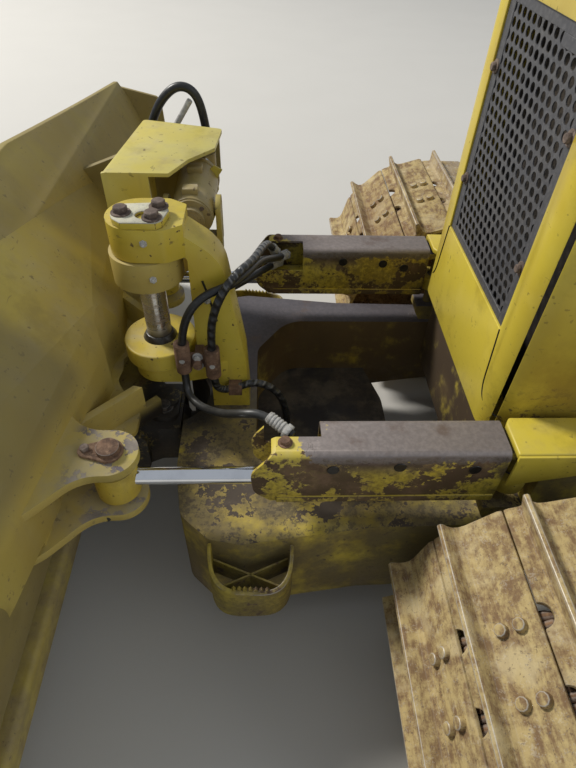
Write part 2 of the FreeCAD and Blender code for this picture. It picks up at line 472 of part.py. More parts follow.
low_z, high_z = s.nose_high + 60 + s.seat_gap, window_high - s.seat_gap
front_pane = pad("front_pane", "XZ", [(front_face(low_z) - 34, low_z), (front_face(low_z) - 26, low_z), (front_face(high_z) - 26, high_z),
                                      (front_face(high_z) - 34, high_z)], "2 * (cab_half - pillar - seat_gap)", 0)
rear_low = s.tank_high + 60 + s.seat_gap
rear_pane = pad("rear_pane", "XZ", [(s.cab_rear_x + 26, rear_low), (s.cab_rear_x + 34, rear_low), (s.cab_rear_x + 34, s.cab_belt),
                                    (s.cab_rear_x + 34 + 43, high_z), (s.cab_rear_x + 26 + 43, high_z), (s.cab_rear_x + 26, s.cab_belt)],
                "2 * (cab_half - pillar - seat_gap)", 0)
node("cab_glass", group("cab_panes", front_pane, rear_pane, side_pane, mirrored("side_pane_right", side_pane)))
roof = pad("roof_slab", "XZ", [(cab_front - s.cab_lean + s.roof_overhang, s.cab_top + s.seat_gap), (cab_front - s.cab_lean + s.roof_overhang, s.cab_top + 50, 30),
                               (cab_front - s.cab_lean - 120, s.cab_top + s.roof_thick, 60), (s.cab_rear_x + 150, s.cab_top + s.roof_thick, 60),
                               (s.cab_rear_x - 20, s.cab_top + 50, 30), (s.cab_rear_x - 20, s.cab_top + s.seat_gap)], "2 * roof_half", 0)
node("cab_roof", roof)
lamp_parts = []
for i, (x, y, out) in enumerate((("hood_rear_x - cab_lean + roof_overhang", 520, 1), ("hood_rear_x - cab_lean + roof_overhang", -520, 1),
                                 ("cab_rear_x - 20", 480, -1), ("cab_rear_x - 20", -480, -1))):
    case = rod(f"lamp_case_{i}", "62", "70", (f"{x} + {out} * (seat_gap + 12)", y, "cab_top + 32"), (out, 0, 0))
    foot = box(f"lamp_foot_{i}", (f"{x} + seat_gap" if out > 0 else f"{x} - seat_gap - 30", f"{x} + seat_gap + 30" if out > 0 else f"{x} - seat_gap"),
               (y - 25, y + 25), ("cab_top + 2", "cab_top + 40"))
    lamp_parts.append(fuse(f"lamp_{i}", case, foot))
node("work_lamps", group("lamps", *lamp_parts))

# Driver's place
pedestal = pad("pedestal", "XZ", [(-1420, s.cab_floor), (-980, s.cab_floor), (-1010, 1430), (-1400, 1430)], "380", 0)
consoles = []
for side, sign in (("left", 1), ("right", -1)):
    consoles.append(box(f"console_{side}", (-1400, -800), (f"{sign} * 360 - 70", f"{sign} * 360 + 70"), ("cab_floor - 1", 1640)))
    consoles.append(rod(f"lever_{side}", "14", "130", (-850, sign * 360, 1630)))
    consoles.append(ball(f"knob_{side}", "34", (-850, sign * 360, 1770)))
base_plate = box("base_plate", (-1430, -790), ("-430", "430"), ("cab_floor + seat_gap", "cab_floor + 30"))
dash = box("dash", ("hood_rear_x - seat_gap - cab_wall - 160 - seat_gap", "hood_rear_x - 2 * seat_gap - cab_wall"), ("-300", "300"), (1200, 1800))
node("seat_base", cut("seat_base_solid", fuse("seat_base_raw", pedestal, base_plate, *consoles),
                      box("floor_trim", (-2000, 0), (-600, 600), ("cab_floor - 50", "cab_floor + seat_gap"))))
node("dashboard", dash)
cushion = pad("cushion", "XZ", [(-1430, 1430.3), (-900, 1430.3, 30), (-900, 1560, 50), (-1290, 1540), (-1400, 2080, 60), (-1530, 2060, 60), (-1440, 1500)],
              "500", 0)
node("seat", cushion)

# Fenders over the tracks and the fuel tank behind the cab
deck = pad("deck", "XZ", [(s.fender_rear_x, s.fender_high - 60), (s.fender_rear_x, s.fender_high), (s.fender_front_x - 60, s.fender_high, 60),
                          (s.fender_front_x, s.fender_high - 110), (s.fender_front_x - 12, s.fender_high - 110),
                          (s.fender_front_x - 68, s.fender_high - 12, 48), (s.fender_rear_x + 12, s.fender_high - 12), (s.fender_rear_x + 12, s.fender_high - 60)],
           "fender_half - cab_half - seat_gap", "(fender_half + cab_half + seat_gap) / 2")
lip = box("fender_lip", ("fender_rear_x", "fender_front_x - 50"), ("fender_half - 12", "fender_half"), ("fender_high - 55", "fender_high - 4"))
both_sides("fender", fuse("fender_solid", deck, lip))
tank = pad("tank_blank", "XZ", [(s.cab_rear_x - s.seat_gap, s.case_high + s.seat_gap), (s.cab_rear_x - s.seat_gap, s.tank_high, 40), (s.tank_rear_x + 60, s.tank_high, 90),
                                (s.tank_rear_x, s.tank_high - 220, 60), (s.tank_rear_x, s.case_high + s.seat_gap + 120, 60), (s.tank_rear_x + 90, s.case_high + s.seat_gap, 40)],
           "2 * tank_half", 0)
cap = rod("tank_cap", "55", "45", ("cab_rear_x - 220", 330, "tank_high - 1"))
node("fuel_tank", fuse("fuel_tank_solid", tank, cap))

# C-frame: crossbar, arms and pan
outline = [(s.bar_front_x, 350, 60), (1835, 517, 60), (1746, 600, 50), (1649, 620, 60), (1257, 569), (900, s.arm_outer), (s.lift_pivot_x, s.arm_outer),
           (s.lift_pivot_x, s.arm_inner), (1480, s.arm_inner, 130), (s.bar_rear_x, 250, 90)]
plan = outline + [(u, -v, *rest) for u, v, *rest in reversed(outline)]
frame_plan = pad("frame_plan", "XY", plan, "frame_top - frame_bottom", "(frame_top + frame_bottom) / 2")
side_view = [(1900, s.frame_bottom), (1900, s.frame_top), (650, s.frame_top, 300), (s.lift_pivot_x, s.lift_pivot_z + 95), (s.lift_pivot_x - 1, s.lift_pivot_z - 95),
             (500, 300, 300), (1150, s.frame_bottom, 300)]
frame_side = pad("frame_side", "XZ", side_view, "1400", 0)
frame_blank = doc.addObject("Part::MultiCommon", "frame_blank")
frame_blank.Shapes = [frame_plan, frame_side]
frame_blank.Refine = True
bosses = [rod(f"pivot_boss_{side}", "100", "arm_outer - arm_inner + 20", ("lift_pivot_x", low, "lift_pivot_z"), (0, 1, 0))
          for side, low in (("left", "arm_inner - 10"), ("right", "-arm_outer - 10"))]
pan = pad("pan", "XY", [(s.bar_rear_x + 10, -s.arm_inner - 10), (s.pan_rear_x + 60, -s.arm_inner - 10), (s.pan_rear_x, -230, 200), (s.pan_rear_x, 230, 200),
                        (s.pan_rear_x + 60, s.arm_inner + 10), (s.bar_rear_x + 10, s.arm_inner + 10)], "pan_high - pan_low", "(pan_high + pan_low) / 2")
notch = rod("ball_notch_tool", "ball_notch", "frame_top", ("swing_x", 0, "frame_bottom - 20"))
eye_ears, brackets = [], []
for side, sign in (("left", 1), ("right", -1)):
    for name, offset in (("in", -1), ("out", 1)):
        eye_ears.append(pad(f"lift_ear_{name}_{side}", "XZ", [(s.lift_eye_x - 75, s.frame_top - 60), (s.lift_eye_x - 60, s.lift_eye_z + 50, 50),
                                                             (s.lift_eye_x + 60, s.lift_eye_z + 50, 50), (s.lift_eye_x + 95, s.frame_top - 60)],
                            "16", f"{sign} * (lift_y + {offset} * 54)"))
    brackets.append(pad(f"bracket_{side}", "XZ", [(s.bracket_rear_x, s.frame_top - 40), (s.bracket_rear_x, 860, 60), (s.bracket_rear_x + 40, s.cover_high, 30),
                                                  (s.cover_rear_x - 17, s.cover_high), (s.cover_rear_x - 17, s.cover_high - 25), (s.angle_rear_x + 55, s.cover_high - 25, 8),
                                                  (s.angle_rear_x + 55, s.cover_high - 48, 8), (s.angle_rear_x - 70, s.cover_high - 48), (s.angle_rear_x - 70, 650),
                                                  (s.angle_rear_x + 55, 650, 10), (s.angle_rear_x + 55, 620, 10), (s.angle_rear_x + 10, s.frame_top - 40)],
                        "2 * (cover_half - cover_plate - 12)", f"{sign} * angle_y"))
    brackets.append(rod(f"link_pin_{side}", "link_pin_radius", "cover_high - 30 - 630", ("angle_rear_x", f"{sign} * angle_y", "630")))
    brackets.append(ball(f"link_pin_ball_{side}", "pin_ball_radius", ("angle_rear_x", f"{sign} * angle_y", "angle_z")))
neck = rod("ball_neck_bar", "ball_neck", "ball_notch + 10 - 30", ("swing_x - ball_notch - 10", 0, "ball_z"), (1, 0, 0))
the_ball = ball("the_ball", "ball_radius", ("swing_x", 0, "ball_z"))
frame_notched = cut("frame_notched", fuse("frame_fused", frame_blank, pan, *bosses, *eye_ears, *brackets), notch)
pivot_bores = rod("pivot_bores", "lift_pin_radius + pin_fit", "2 * arm_outer + 100", ("lift_pivot_x", "-arm_outer - 50", "lift_pivot_z"), (0, 1, 0))
node("c_frame", fuse("c_frame_solid", cut("frame_bored", frame_notched, pivot_bores), neck, the_ball))

# Tower: swan-neck that holds the swing pin at its head and on its shelf
tower_side = [(s.swing_x + 10, s.head_low), (s.swing_x + 10, s.head_high), (1850, s.head_high, 60), (1700, 1190, 160), (1640, 800, 300), (s.bar_rear_x + 25, s.frame_top),
              (1760, s.frame_top), (1760, s.shelf_low, 20), (s.swing_x, s.shelf_low), (s.swing_x, s.shelf_high), (1798, s.shelf_high, 5), (1797, s.head_low, 15)]
tower_blade = pad("tower_blade", "XZ", tower_side, "2 * tower_half", 0)
tower_head = pad("tower_head", "XY", [(1800, -s.tower_half, 5), (1850, -s.head_half, 40), (s.swing_x + s.head_half, -s.head_half, s.head_half - 2),
                                      (s.swing_x + s.head_half, s.head_half, s.head_half - 2), (1850, s.head_half, 40), (1800, s.tower_half, 5)],
                 "head_high - head_low", "(head_high + head_low) / 2")
shelf = pad("tower_shelf", "XY", [(1700, -s.tower_half, 5), (1850, -s.head_half, 30), (s.swing_x + s.head_half, -s.head_half, s.head_half - 2),
                                  (s.swing_x + s.head_half, s.head_half, s.head_half - 2), (1850, s.head_half, 30), (1700, s.tower_half, 5)],
            "shelf_high - shelf_low", "(shelf_high + shelf_low) / 2")
pin_hole = rod("pin_hole", "swing_pin_radius + pin_fit", "800", ("swing_x", 0, "shelf_low - 50"))
cap_plate = pad("cap_plate", "XY", [(s.swing_x - 70, -85, 20), (s.swing_x + 80, -20, 25), (s.swing_x - 20, 88, 25)], "22", "head_high + 11")
tower_raw = fuse("tower_raw", tower_blade, tower_head, shelf)
tower_trim = box("tower_trim", ("bar_rear_x - 50", "swing_x + 200"), ("-400", "400"), ("frame_top - 60", "frame_top + seat_gap"))
node("tower", fuse("tower_solid", cut("tower_bored", cut("tower_trimmed", tower_raw, tower_trim), pin_hole), cap_plate))
node("swing_pin", turned("swing_pin_solid", [(s.shelf_low - 12, 0), (s.shelf_low - 12, s.swing_pin_radius), (s.shelf_high + s.seat_gap, s.swing_pin_radius),
                                             (s.shelf_high + s.seat_gap, s.flange_radius, 6), (s.flange_high, s.flange_radius, 6), (s.flange_high, s.swing_pin_radius + 14),
                                             (s.flange_high + 14, s.swing_pin_radius), (s.head_high - s.seat_gap, s.swing_pin_radius), (s.head_high - s.seat_gap, 0)],
                         ("swing_x", 0, 0), (0, 0, 1)))

# Boarding steps on the arms' outer faces: a curved plate with sloping ends, open below, with crossed bars
step_mid_z, step_rise = (s.step_low + s.step_top) / 2, "step_top - step_low"
step_outer = pad("step_outer", "XY", [(1485, 560), (1500, s.step_out - 40, 70), (1600, s.step_out, 60), (1700, s.step_out - 25, 50), (1735, 560)],
                 step_rise, step_mid_z)
step_room = pad("step_room", "XY", [(1498, 550), (1512, s.step_out - 52, 60), (1600, s.step_out - 12, 50), (1691, s.step_out - 37, 42), (1722, 550)],
                step_rise + " + 20", step_mid_z)
step_slope = pad("step_slope", "YZ", [(550, s.step_low), (s.step_out + 5, s.step_low), (s.step_out + 5, s.step_low + 145), (640, s.step_top), (550, s.step_top)],
                 "400", 1610)
step_bars = [pad(f"step_bar_{i}", "XY", corners, "14", s.step_low + 95) for i, corners in enumerate((
    [(1500, 625), (1516, 612), (1700, 712), (1684, 726)], [(1502, 700), (1514, 716), (1724, 628), (1712, 612)]))]
step_shell = doc.addObject("Part::MultiCommon", "step_shell")
step_shell.Shapes = [cut("step_hollow", step_outer, step_room), step_slope]
arm_side = pad("arm_side", "XY", [(1257, s.seat_gap + 569), (1649, s.seat_gap + 620, 60), (1746, s.seat_gap + 600, 50), (1835, s.seat_gap + 517, 60), (1835, 400), (1257, 400)],
               "frame_top", "frame_top / 2 + 100")
both_sides("boarding_step", cut("boarding_step_solid", fuse("step_joined", step_shell, *step_bars), arm_side))

# Swivel on the swing pin: hub, arm and the tilt cylinder's trunnion cheeks
hub = rod("hub", "hub_radius", "hub_high - hub_low", ("swing_x", 0, "hub_low"))
cheek_gap = s.tilt_barrel_radius + 6
swivel_arm = pad("swivel_arm", "XY", [(s.swing_x - 50, -75), (s.swing_x + 50, -75), (s.swing_x + 50, -150, 40),
                                      (s.tilt_x + cheek_gap + 16, s.tilt_trunnion_y - 45, 20), (s.tilt_x - cheek_gap - 16, s.tilt_trunnion_y - 45, 20),
                                      (s.tilt_x - cheek_gap - 16, s.tilt_trunnion_y + 32, 30)],
                 "swivel_arm_high - swivel_arm_low", "(swivel_arm_high + swivel_arm_low) / 2")
swivel_root = box("swivel_root", ("swing_x - 48", "swing_x + 48"), (-140, -72), ("swivel_arm_low + 10", "hub_low + 50"))
cheeks = [pad(f"cheek_{i}", "YZ", [(s.tilt_trunnion_y - 45, s.swivel_arm_high - 20), (s.tilt_trunnion_y - 45, s.tilt_z + 45, 44),
                                      (s.tilt_trunnion_y + 45, s.tilt_z + 45, 44), (s.tilt_trunnion_y + 45, s.swivel_arm_high - 20)],
              "16", f"tilt_x + {sign} * {cheek_gap + 8}") for i, sign in enumerate((-1, 1))]
swing_bore = rod("swing_bore", "swing_pin_radius + hub_fit", "400", ("swing_x", 0, "hub_low - 150"))
cheek_bore = rod("cheek_bore", "22", "400", ("tilt_x - 200", "tilt_trunnion_y", "tilt_z"), (1, 0, 0))
node("blade_swivel", cut("swivel_bored", fuse("swivel_solid", hub, swivel_root, swivel_arm, *cheeks), fuse("swivel_bores", swing_bore, cheek_bore)))

# Tilt cylinder, lying to the right of the swivel
reach = s.tilt_near_y - s.tilt_gland_y
tilt_tube = turned("tilt_tube", [(-30, 0), (-30, 44), (0, 44), (0, s.tilt_barrel_radius - 3), (14, s.tilt_barrel_radius, 4), (reach, s.tilt_barrel_radius, 6), (reach, s.tilt_rod_radius + 0.1),
                                 (reach - 35, s.tilt_rod_radius + 0.1), (reach - 35, s.tilt_bore_radius), (25, s.tilt_bore_radius), (25, 0)],
                   ("tilt_x", "tilt_near_y", "tilt_z"), (0, -1, 0))
tilt_trunnions = [rod(f"tilt_trunnion_{i}", "21.9", cheek_gap + 16 - 60, (f"tilt_x + {sign} * 60", "tilt_trunnion_y", "tilt_z"), (sign, 0, 0)) for i, sign in enumerate((-1, 1))]
node("tilt_barrel", fuse("tilt_barrel_solid", tilt_tube, *tilt_trunnions))
tilt_rod_bar = turned("tilt_rod_bar", [(0, 0), (0, s.tilt_bore_radius - 0.3), (30, s.tilt_bore_radius - 0.3), (30, s.tilt_rod_radius), (s.tilt_near_y - s.tilt_eye_y - 20 - 135, s.tilt_rod_radius),
                                       (s.tilt_near_y - s.tilt_eye_y - 20 - 135, 0)], ("tilt_x", "tilt_near_y - 135", "tilt_z"), (0, -1, 0))
tilt_eye = rod("tilt_eye", "tilt_eye_radius", "2 * tilt_eye_half", ("tilt_x", "tilt_eye_y", "tilt_z - tilt_eye_half"))
tilt_pin_core = rod("tilt_pin_core", "24", "2 * tilt_eye_half + 10", ("tilt_x", "tilt_eye_y", "tilt_z - tilt_eye_half - 5"))
node("tilt_rod", fuse("tilt_rod_solid", tilt_rod_bar, tilt_eye, tilt_pin_core))

# Angle cylinders: a ball on the bracket's pin, the barrel with its cover, and the rod
link_ball = ball("link_sphere", "link_ball_radius", ("angle_rear_x", "angle_y", "angle_z"))
link_slab = box("link_slab", ("angle_rear_x - 60", "angle_rear_x + 60"), ("angle_y - 60", "angle_y + 60"), ("angle_z - 30", "angle_z + 30"))
link_common = doc.addObject("Part::Common", "link_common")
link_common.Base = link_ball
link_common.Tool = link_slab
link_bore = fuse("link_room", rod("link_bore", "link_pin_radius + 3", "100", ("angle_rear_x", "angle_y", "angle_z - 50")),
                 ball("link_seat", "pin_ball_radius + seat_gap", ("angle_rear_x", "angle_y", "angle_z")))
both_sides("angle_link", cut("link_solid", link_common, link_bore))

tube_length = s.angle_gland_x - s.angle_rear_x - 50
angle_tube = turned("angle_tube", [(0, 0), (0, s.angle_barrel_radius), (50, s.angle_barrel_radius), (50, s.cover_half - s.cover_plate - s.seat_gap), (85, s.cover_half - s.cover_plate - s.seat_gap),
                                   (85, s.angle_barrel_radius), (tube_length - 60, s.angle_barrel_radius), (tube_length - 60, s.cover_half - s.cover_plate - s.seat_gap),
                                   (tube_length, s.cover_half - s.cover_plate - s.seat_gap), (tube_length, s.angle_rod_radius + 0.08), (tube_length - 30, s.angle_rod_radius + 0.08),
                                   (tube_length - 30, s.angle_bore_radius), (40, s.angle_bore_radius), (40, 0)],
                    ("angle_rear_x + 50", "angle_y", "angle_z"), (1, 0, 0))
angle_ring = rod("angle_ring", "56", "54", ("angle_rear_x", "angle_y", "angle_z - 27"))
ring_cavity = ball("ring_cavity", "link_ball_radius + 0.3", ("angle_rear_x", "angle_y", "angle_z"))
both_sides("angle_barrel", cut("angle_barrel_solid", fuse("angle_barrel_fused", angle_tube, angle_ring), ring_cavity))

cover_inside = s.cover_half - s.cover_plate
cover_section = pad("cover_section", "YZ", [(-s.cover_half, s.cover_low), (-s.cover_half, s.cover_high, 22), (s.cover_half, s.cover_high, 22), (s.cover_half, s.cover_low),
                                            (cover_inside, s.cover_low), (cover_inside, s.cover_high - s.cover_plate, 14), (-cover_inside, s.cover_high - s.cover_plate, 14), (-cover_inside, s.cover_low)],
                    "cover_front_x - cover_rear_x + 20", "(cover_front_x + cover_rear_x) / 2")
bind(cover_section, ".Placement.Base.y", "angle_y")
cover_view = pad("cover_view", "XZ", [(s.cover_rear_x, s.cover_low - 5), (s.cover_rear_x, s.cover_high + 5), (1552, s.cover_high + 5, 60), (s.cover_front_x, 850, 60), (s.cover_front_x - 8, 770, 50),
                                      (1555, s.cover_low - 5, 30)], "2 * cover_half + 20", "angle_y")
cover_shell = doc.addObject("Part::MultiCommon", "cover_shell")
cover_shell.Shapes = [cover_section, cover_view]
hose_notch = box("hose_notch", ("notch_rear_x", "notch_front_x"), ("angle_y - cover_half - 5", "angle_y - cover_half + 46"), ("cover_high - 90", "cover_high + 5"))
both_sides("angle_cover", cut("cover_notched", cover_shell, hose_notch))

piston_x = 1205
rod_bar = turned("rod_bar", [(0, 0), (0, s.angle_bore_radius - 0.3), (36, s.angle_bore_radius - 0.3), (36, s.angle_rod_radius), (s.angle_pin_x - piston_x - 30, s.angle_rod_radius),
                             (s.angle_pin_x - piston_x - 30, 0)], (piston_x, "angle_y", "angle_z"), (1, 0, 0))
rod_eye = rod("rod_eye", "eye_radius", "2 * eye_half", ("angle_pin_x", "angle_y", "angle_z - eye_half"))
rod_core = rod("rod_core", "pin_radius", "2 * eye_half + 6", ("angle_pin_x", "angle_y", "angle_z - eye_half - 3"))
both_sides("angle_rod", fuse("angle_rod_solid", rod_bar, rod_eye, rod_core))

# Lift cylinders, hung by trunnions from the hood's sides
lift_run = math.hypot(s.lift_eye_x - s.trunnion_x, s.trunnion_z - s.lift_eye_z)
down = ((s.lift_eye_x - s.trunnion_x) / lift_run, 0, -(s.trunnion_z - s.lift_eye_z) / lift_run)


def on_lift(distance):
    """Formulas of a point on the lift cylinder's axis, from its trunnion down."""
    return (f"trunnion_x + {distance * down[0]}", "lift_y", f"trunnion_z + {distance * down[2]}")


tube = s.lift_barrel_above + s.lift_barrel_below
lift_tube = turned("lift_tube", [(0, 0), (0, s.lift_barrel_radius - 8), (12, s.lift_barrel_radius, 6), (s.lift_barrel_above - 48, s.lift_barrel_radius), (s.lift_barrel_above - 42, 68, 4), (s.lift_barrel_above + 42, 68, 4),
                                 (s.lift_barrel_above + 48, s.lift_barrel_radius), (tube, s.lift_barrel_radius, 4), (tube, s.lift_rod_radius + 0.1), (tube - 25, s.lift_rod_radius + 0.1), (tube - 25, s.lift_bore_radius),
                                 (25, s.lift_bore_radius), (25, 0)], on_lift(-s.lift_barrel_above), down)
lift_trunnions = [rod(f"lift_trunnion_{i}", "27.9", "24", ("trunnion_x", f"lift_y + {sign} * 60", "trunnion_z"), (0, sign, 0)) for i, sign in enumerate((-1, 1))]
both_sides("lift_barrel", fuse("lift_barrel_solid", lift_tube, *lift_trunnions))
piston = -165
lift_bar = turned("lift_bar", [(0, 0), (0, s.lift_bore_radius - 0.3), (30, s.lift_bore_radius - 0.3), (30, s.lift_rod_radius), (lift_run - piston - 20, s.lift_rod_radius), (lift_run - piston - 20, 0)],
                  on_lift(piston), down)
lift_eye = rod("lift_eye", "lift_eye_radius", "72", ("lift_eye_x", "lift_y - 36", "lift_eye_z"), (0, 1, 0))
both_sides("lift_rod", fuse("lift_rod_solid", lift_bar, lift_eye))



# Hydraulic hoses: two held by clamps on the tower's left face, one beside its right face
def hose(label, places):
    """A hose along a route: straight runs joined by arcs as large as the runs allow."""
    points = [Vector(*place) for place in places]
    edges = []
    here = points[0]
    for before, corner, after in zip(points, points[1:], points[2:]):
        back = (before - corner).normalize()
        ahead = (after - corner).normalize()
        half = back.getAngle(ahead) / 2
        reach = 0.49 * min(corner.distanceToPoint(before), corner.distanceToPoint(after))
        arc_radius = reach * math.tan(half)
        middle = corner + (back + ahead).normalize() * (arc_radius / math.sin(half))
        crest = middle + (corner - middle).normalize() * arc_radius
        first, last = corner + back * reach, corner + ahead * reach
        edges += [Part.LineSegment(here, first).toShape(), Part.Arc(first, crest, last).toShape()]
        here = last
    edges.append(Part.LineSegment(here, points[-1]).toShape())
    route = doc.addObject("Part::Feature", label + "_route")
    route.Shape = Part.Wire(edges)
    ring = doc.addObject("Part::Circle", label + "_ring")
    bind(ring, "Radius", "hose_radius")
    ring.Placement = Placement(points[0], Rotation(Vector(0, 0, 1), points[1] - points[0]))
    swept = doc.addObject("Part::Sweep", label + "_tube")
    swept.Sections = [ring]
    swept.Spine = (route, [f"Edge{i + 1}" for i in range(len(edges))])
    swept.Solid = True
    swept.Frenet = True
    return node(label, swept)


clamp_left_x, clamp_right_x = 1838, 1744
hose("hose_cross", [(1500, -462, 889), (1520, -400, 918), (1550, -300, 974), (1592, -150, 1060), (1628, 0, 1110), (1676, 86, 1120), (1752, 102, 1100), (1808, s.hose_y, 1042),
                    (clamp_left_x, s.hose_y, 930), (clamp_left_x, s.hose_y, 775), (1832, 150, 728), (1780, 215, 735), (1700, 320, 820), (1640, 385, 895), (1574, 402, 912), (1498, 461, 888)])
hose("hose_wrapped", [(1538, -452, 918), (1554, -400, 968), (1566, -300, 1036), (1586, -150, 1106), (1612, 0, 1150), (1654, 88, 1166), (1700, s.hose_y + 6, 1120), (1736, s.hose_y + 2, 1020),
                      (clamp_right_x, s.hose_y, 920), (clamp_right_x, s.hose_y, 760), (1735, 100, 705), (1690, 86, 690), (1600, 74, 722), (1515, 60, 640), (1488, 48, 480), (1485, 45, 340)])
hose("hose_rear", [(1743, -80, 1006), (1736, -88, 972), (1704, -136, 950), (1640, -230, 930), (1575, -370, 885), (1530, -452, 860)])
clamp_parts = []
for place, x, low in (("left", clamp_left_x, 812), ("right", clamp_right_x, 790)):
    clamp_parts.append(rod(f"clamp_{place}", "25", "112", (x, "hose_y", low)))
for place, x in (("front", 1788), ("rear", clamp_right_x)):
    clamp_parts.append(box(f"clamp_foot_{place}", (x - 14, x + 14), ("tower_half + seat_gap", "hose_y - 10"), (816, 872)))
clamp_parts.append(box("clamp_strap", (clamp_right_x, clamp_left_x), ("hose_y - 20", "hose_y - 8"), (816, 872)))
clamp_parts.append(rod("clamp_bolt", "15", "30", (1792, "hose_y - 10", 844), (0, 1, 0)))
clamp_parts.append(box("clip", (1655, 1700), ("tower_half + seat_gap", 104), (678, 712)))
clamp_parts.append(box("hose_block", (1452, 1518), (12, 78), ("pan_high + seat_gap", 372)))
clamp_parts.append(box("rear_block", (1722, 1764), (-100, "-tower_half - seat_gap"), (984, 1024)))
hose_rooms = []
for stem in ("hose_cross", "hose_wrapped", "hose_rear"):
    room = doc.addObject("Part::Offset", stem + "_room")
    room.Source = nodes[stem]
    room.Value = s.seat_gap
    hose_rooms.append(room)
node("hose_clamps", cut("clamps_bored", group("clamps", fuse("clamp_pair", *clamp_parts[:6]), *clamp_parts[6:]), fuse("hose_rooms", *hose_rooms)))

# Blade: the driving line is the cutting edge's front face, a straight run and then an arc
edge_turn = math.radians(s.edge_angle_degrees)
rise = (-math.cos(edge_turn), math.sin(edge_turn))
facing = (math.sin(edge_turn), math.cos(edge_turn))
bend = (s.blade_tip_x + rise[0] * s.blade_straight, s.blade_tip_z + rise[1] * s.blade_straight)
gap = (s.blade_top_x - bend[0], s.blade_top_z - bend[1])
blade_radius = (gap[0] ** 2 + gap[1] ** 2) / (2 * (gap[0] * facing[0] + gap[1] * facing[1]))
centre = (bend[0] + facing[0] * blade_radius, bend[1] + facing[1] * blade_radius)
top_turn = math.atan2(s.blade_top_z - centre[1], s.blade_top_x - centre[0])
bend_turn = math.atan2(-facing[1], -facing[0]) % (2 * math.pi)


def on_straight(along, behind):
    return Vector(s.blade_tip_x + rise[0] * along - facing[0] * behind, s.blade_tip_z + rise[1] * along - facing[1] * behind, 0)


def on_arc(turn, behind):
    return Vector(centre[0] + (blade_radius + behind) * math.cos(turn), centre[1] + (blade_radius + behind) * math.sin(turn), 0)


def face_edges(along, behind):
    """The blade's face from a place on its straight run up to its top, `behind` the driving line."""
    middle = (bend_turn + top_turn) / 2
    return [Part.LineSegment(on_straight(along, behind), on_straight(s.blade_straight, behind)),
            Part.Arc(on_straight(s.blade_straight, behind), on_arc(middle, behind), on_arc(top_turn, behind))]


def blade_band(name, along, front, back, width, middle=0):
    """A plate between two depths behind the driving line."""
    edges = face_edges(along, front) + face_edges(along, back)
    edges.append(Part.LineSegment(on_arc(top_turn, front), on_arc(top_turn, back)))
    edges.append(Part.LineSegment(on_straight(along, front), on_straight(along, back)))
    return belt(name, [edges], width, middle)


def ahead_of(name, behind):
    """Everything ahead of the blade's face."""
    reach = s.blade_tip_x + s.blade_top_z / 2
    far = [Vector(reach, 1.5 * s.blade_top_z, 0), Vector(reach, -s.blade_top_z / 2, 0)]
    start = on_straight(-200, behind)
    beyond = on_arc(top_turn, behind + 400)
    edges = face_edges(-200, behind) + [Part.LineSegment(on_arc(top_turn, behind), beyond), Part.LineSegment(beyond, far[0]),
                                        Part.LineSegment(far[0], far[1]), Part.LineSegment(far[1], start)]
    return belt(name, [edges], "4 * blade_half", 0)


mould_front = s.edge_thick + s.seat_gap
mould_back = mould_front + s.mould_thick
sheet_metal = blade_band("mould_sheet", 40, mould_front, mould_back, "2 * (blade_half - end_plate)")
top_back = on_arc(top_turn, mould_back)
corner_z = s.blade_top_z - s.corner_drop
wing = [(2480, 60), (2620, corner_z), (top_back.x - 50, corner_z), (2115, corner_z - 70, 40), (2105, 900, 200), (2140, 560, 300), (2300, 160, 200)]
wings = [pad(f"wing_{side}", "XZ", wing, "end_plate", f"{sign} * (blade_half - end_plate / 2)") for side, sign in (("left", 1), ("right", -1))]
wing_front = ahead_of("wing_front", mould_front)
crown = pad("crown", "YZ", [(-s.blade_half - 5, -100), (-s.blade_half - 5, corner_z - 0.6), (-s.blade_top_half, s.blade_top_z - 1, 300), (s.blade_top_half, s.blade_top_z - 1, 300),
                            (s.blade_half + 5, corner_z - 0.6), (s.blade_half + 5, -100)], "1600", "blade_top_x")
crowned = doc.addObject("Part::MultiCommon", "crowned_sheet")
crowned.Shapes = [sheet_metal, crown]
node("mouldboard", fuse("mould_solid", crowned, *[cut(f"wing_cut_{i}", w, wing_front) for i, w in enumerate(wings)]))


def edge_plate(name, height, low, high):
    corners = [on_straight(0, 0), on_straight(height, 0), on_straight(height, s.edge_thick), on_straight(0, s.edge_thick)]
    return pad(name, "XZ", [(p.x, p.y) for p in corners], f"{high} - ({low})", f"({high} + {low}) / 2")


node("cutting_edge", fuse("edge_solid", edge_plate("edge_middle", s.edge_height, "-blade_half + 260", "blade_half - 260"),
                          edge_plate("end_bit_left", s.edge_height + 60, "blade_half - 260", "blade_half"), edge_plate("end_bit_right", s.edge_height + 60, "-blade_half", "-blade_half + 260")))

behind_face = ahead_of("behind_face", mould_back + s.seat_gap)


def top_at(across):
    """The height of the blade's top at a place across it."""
    share = max(0.0, abs(across) - s.blade_top_half) / (s.blade_half - s.blade_top_half)
    return s.blade_top_z - s.corner_drop * share


# The box behind the face: a sloping sheet, two folds and an upright wall that sweep forward to the ends
FOLDS = ((0, (2124, 985), (2116, 975), s.box_rear_x), (s.fold_y, (2259, 1066), (2182, 950), s.box_rear_x + 83),
         (s.box_end_y, (2405, 1140), (2292, 885), s.box_rear_x + 203))


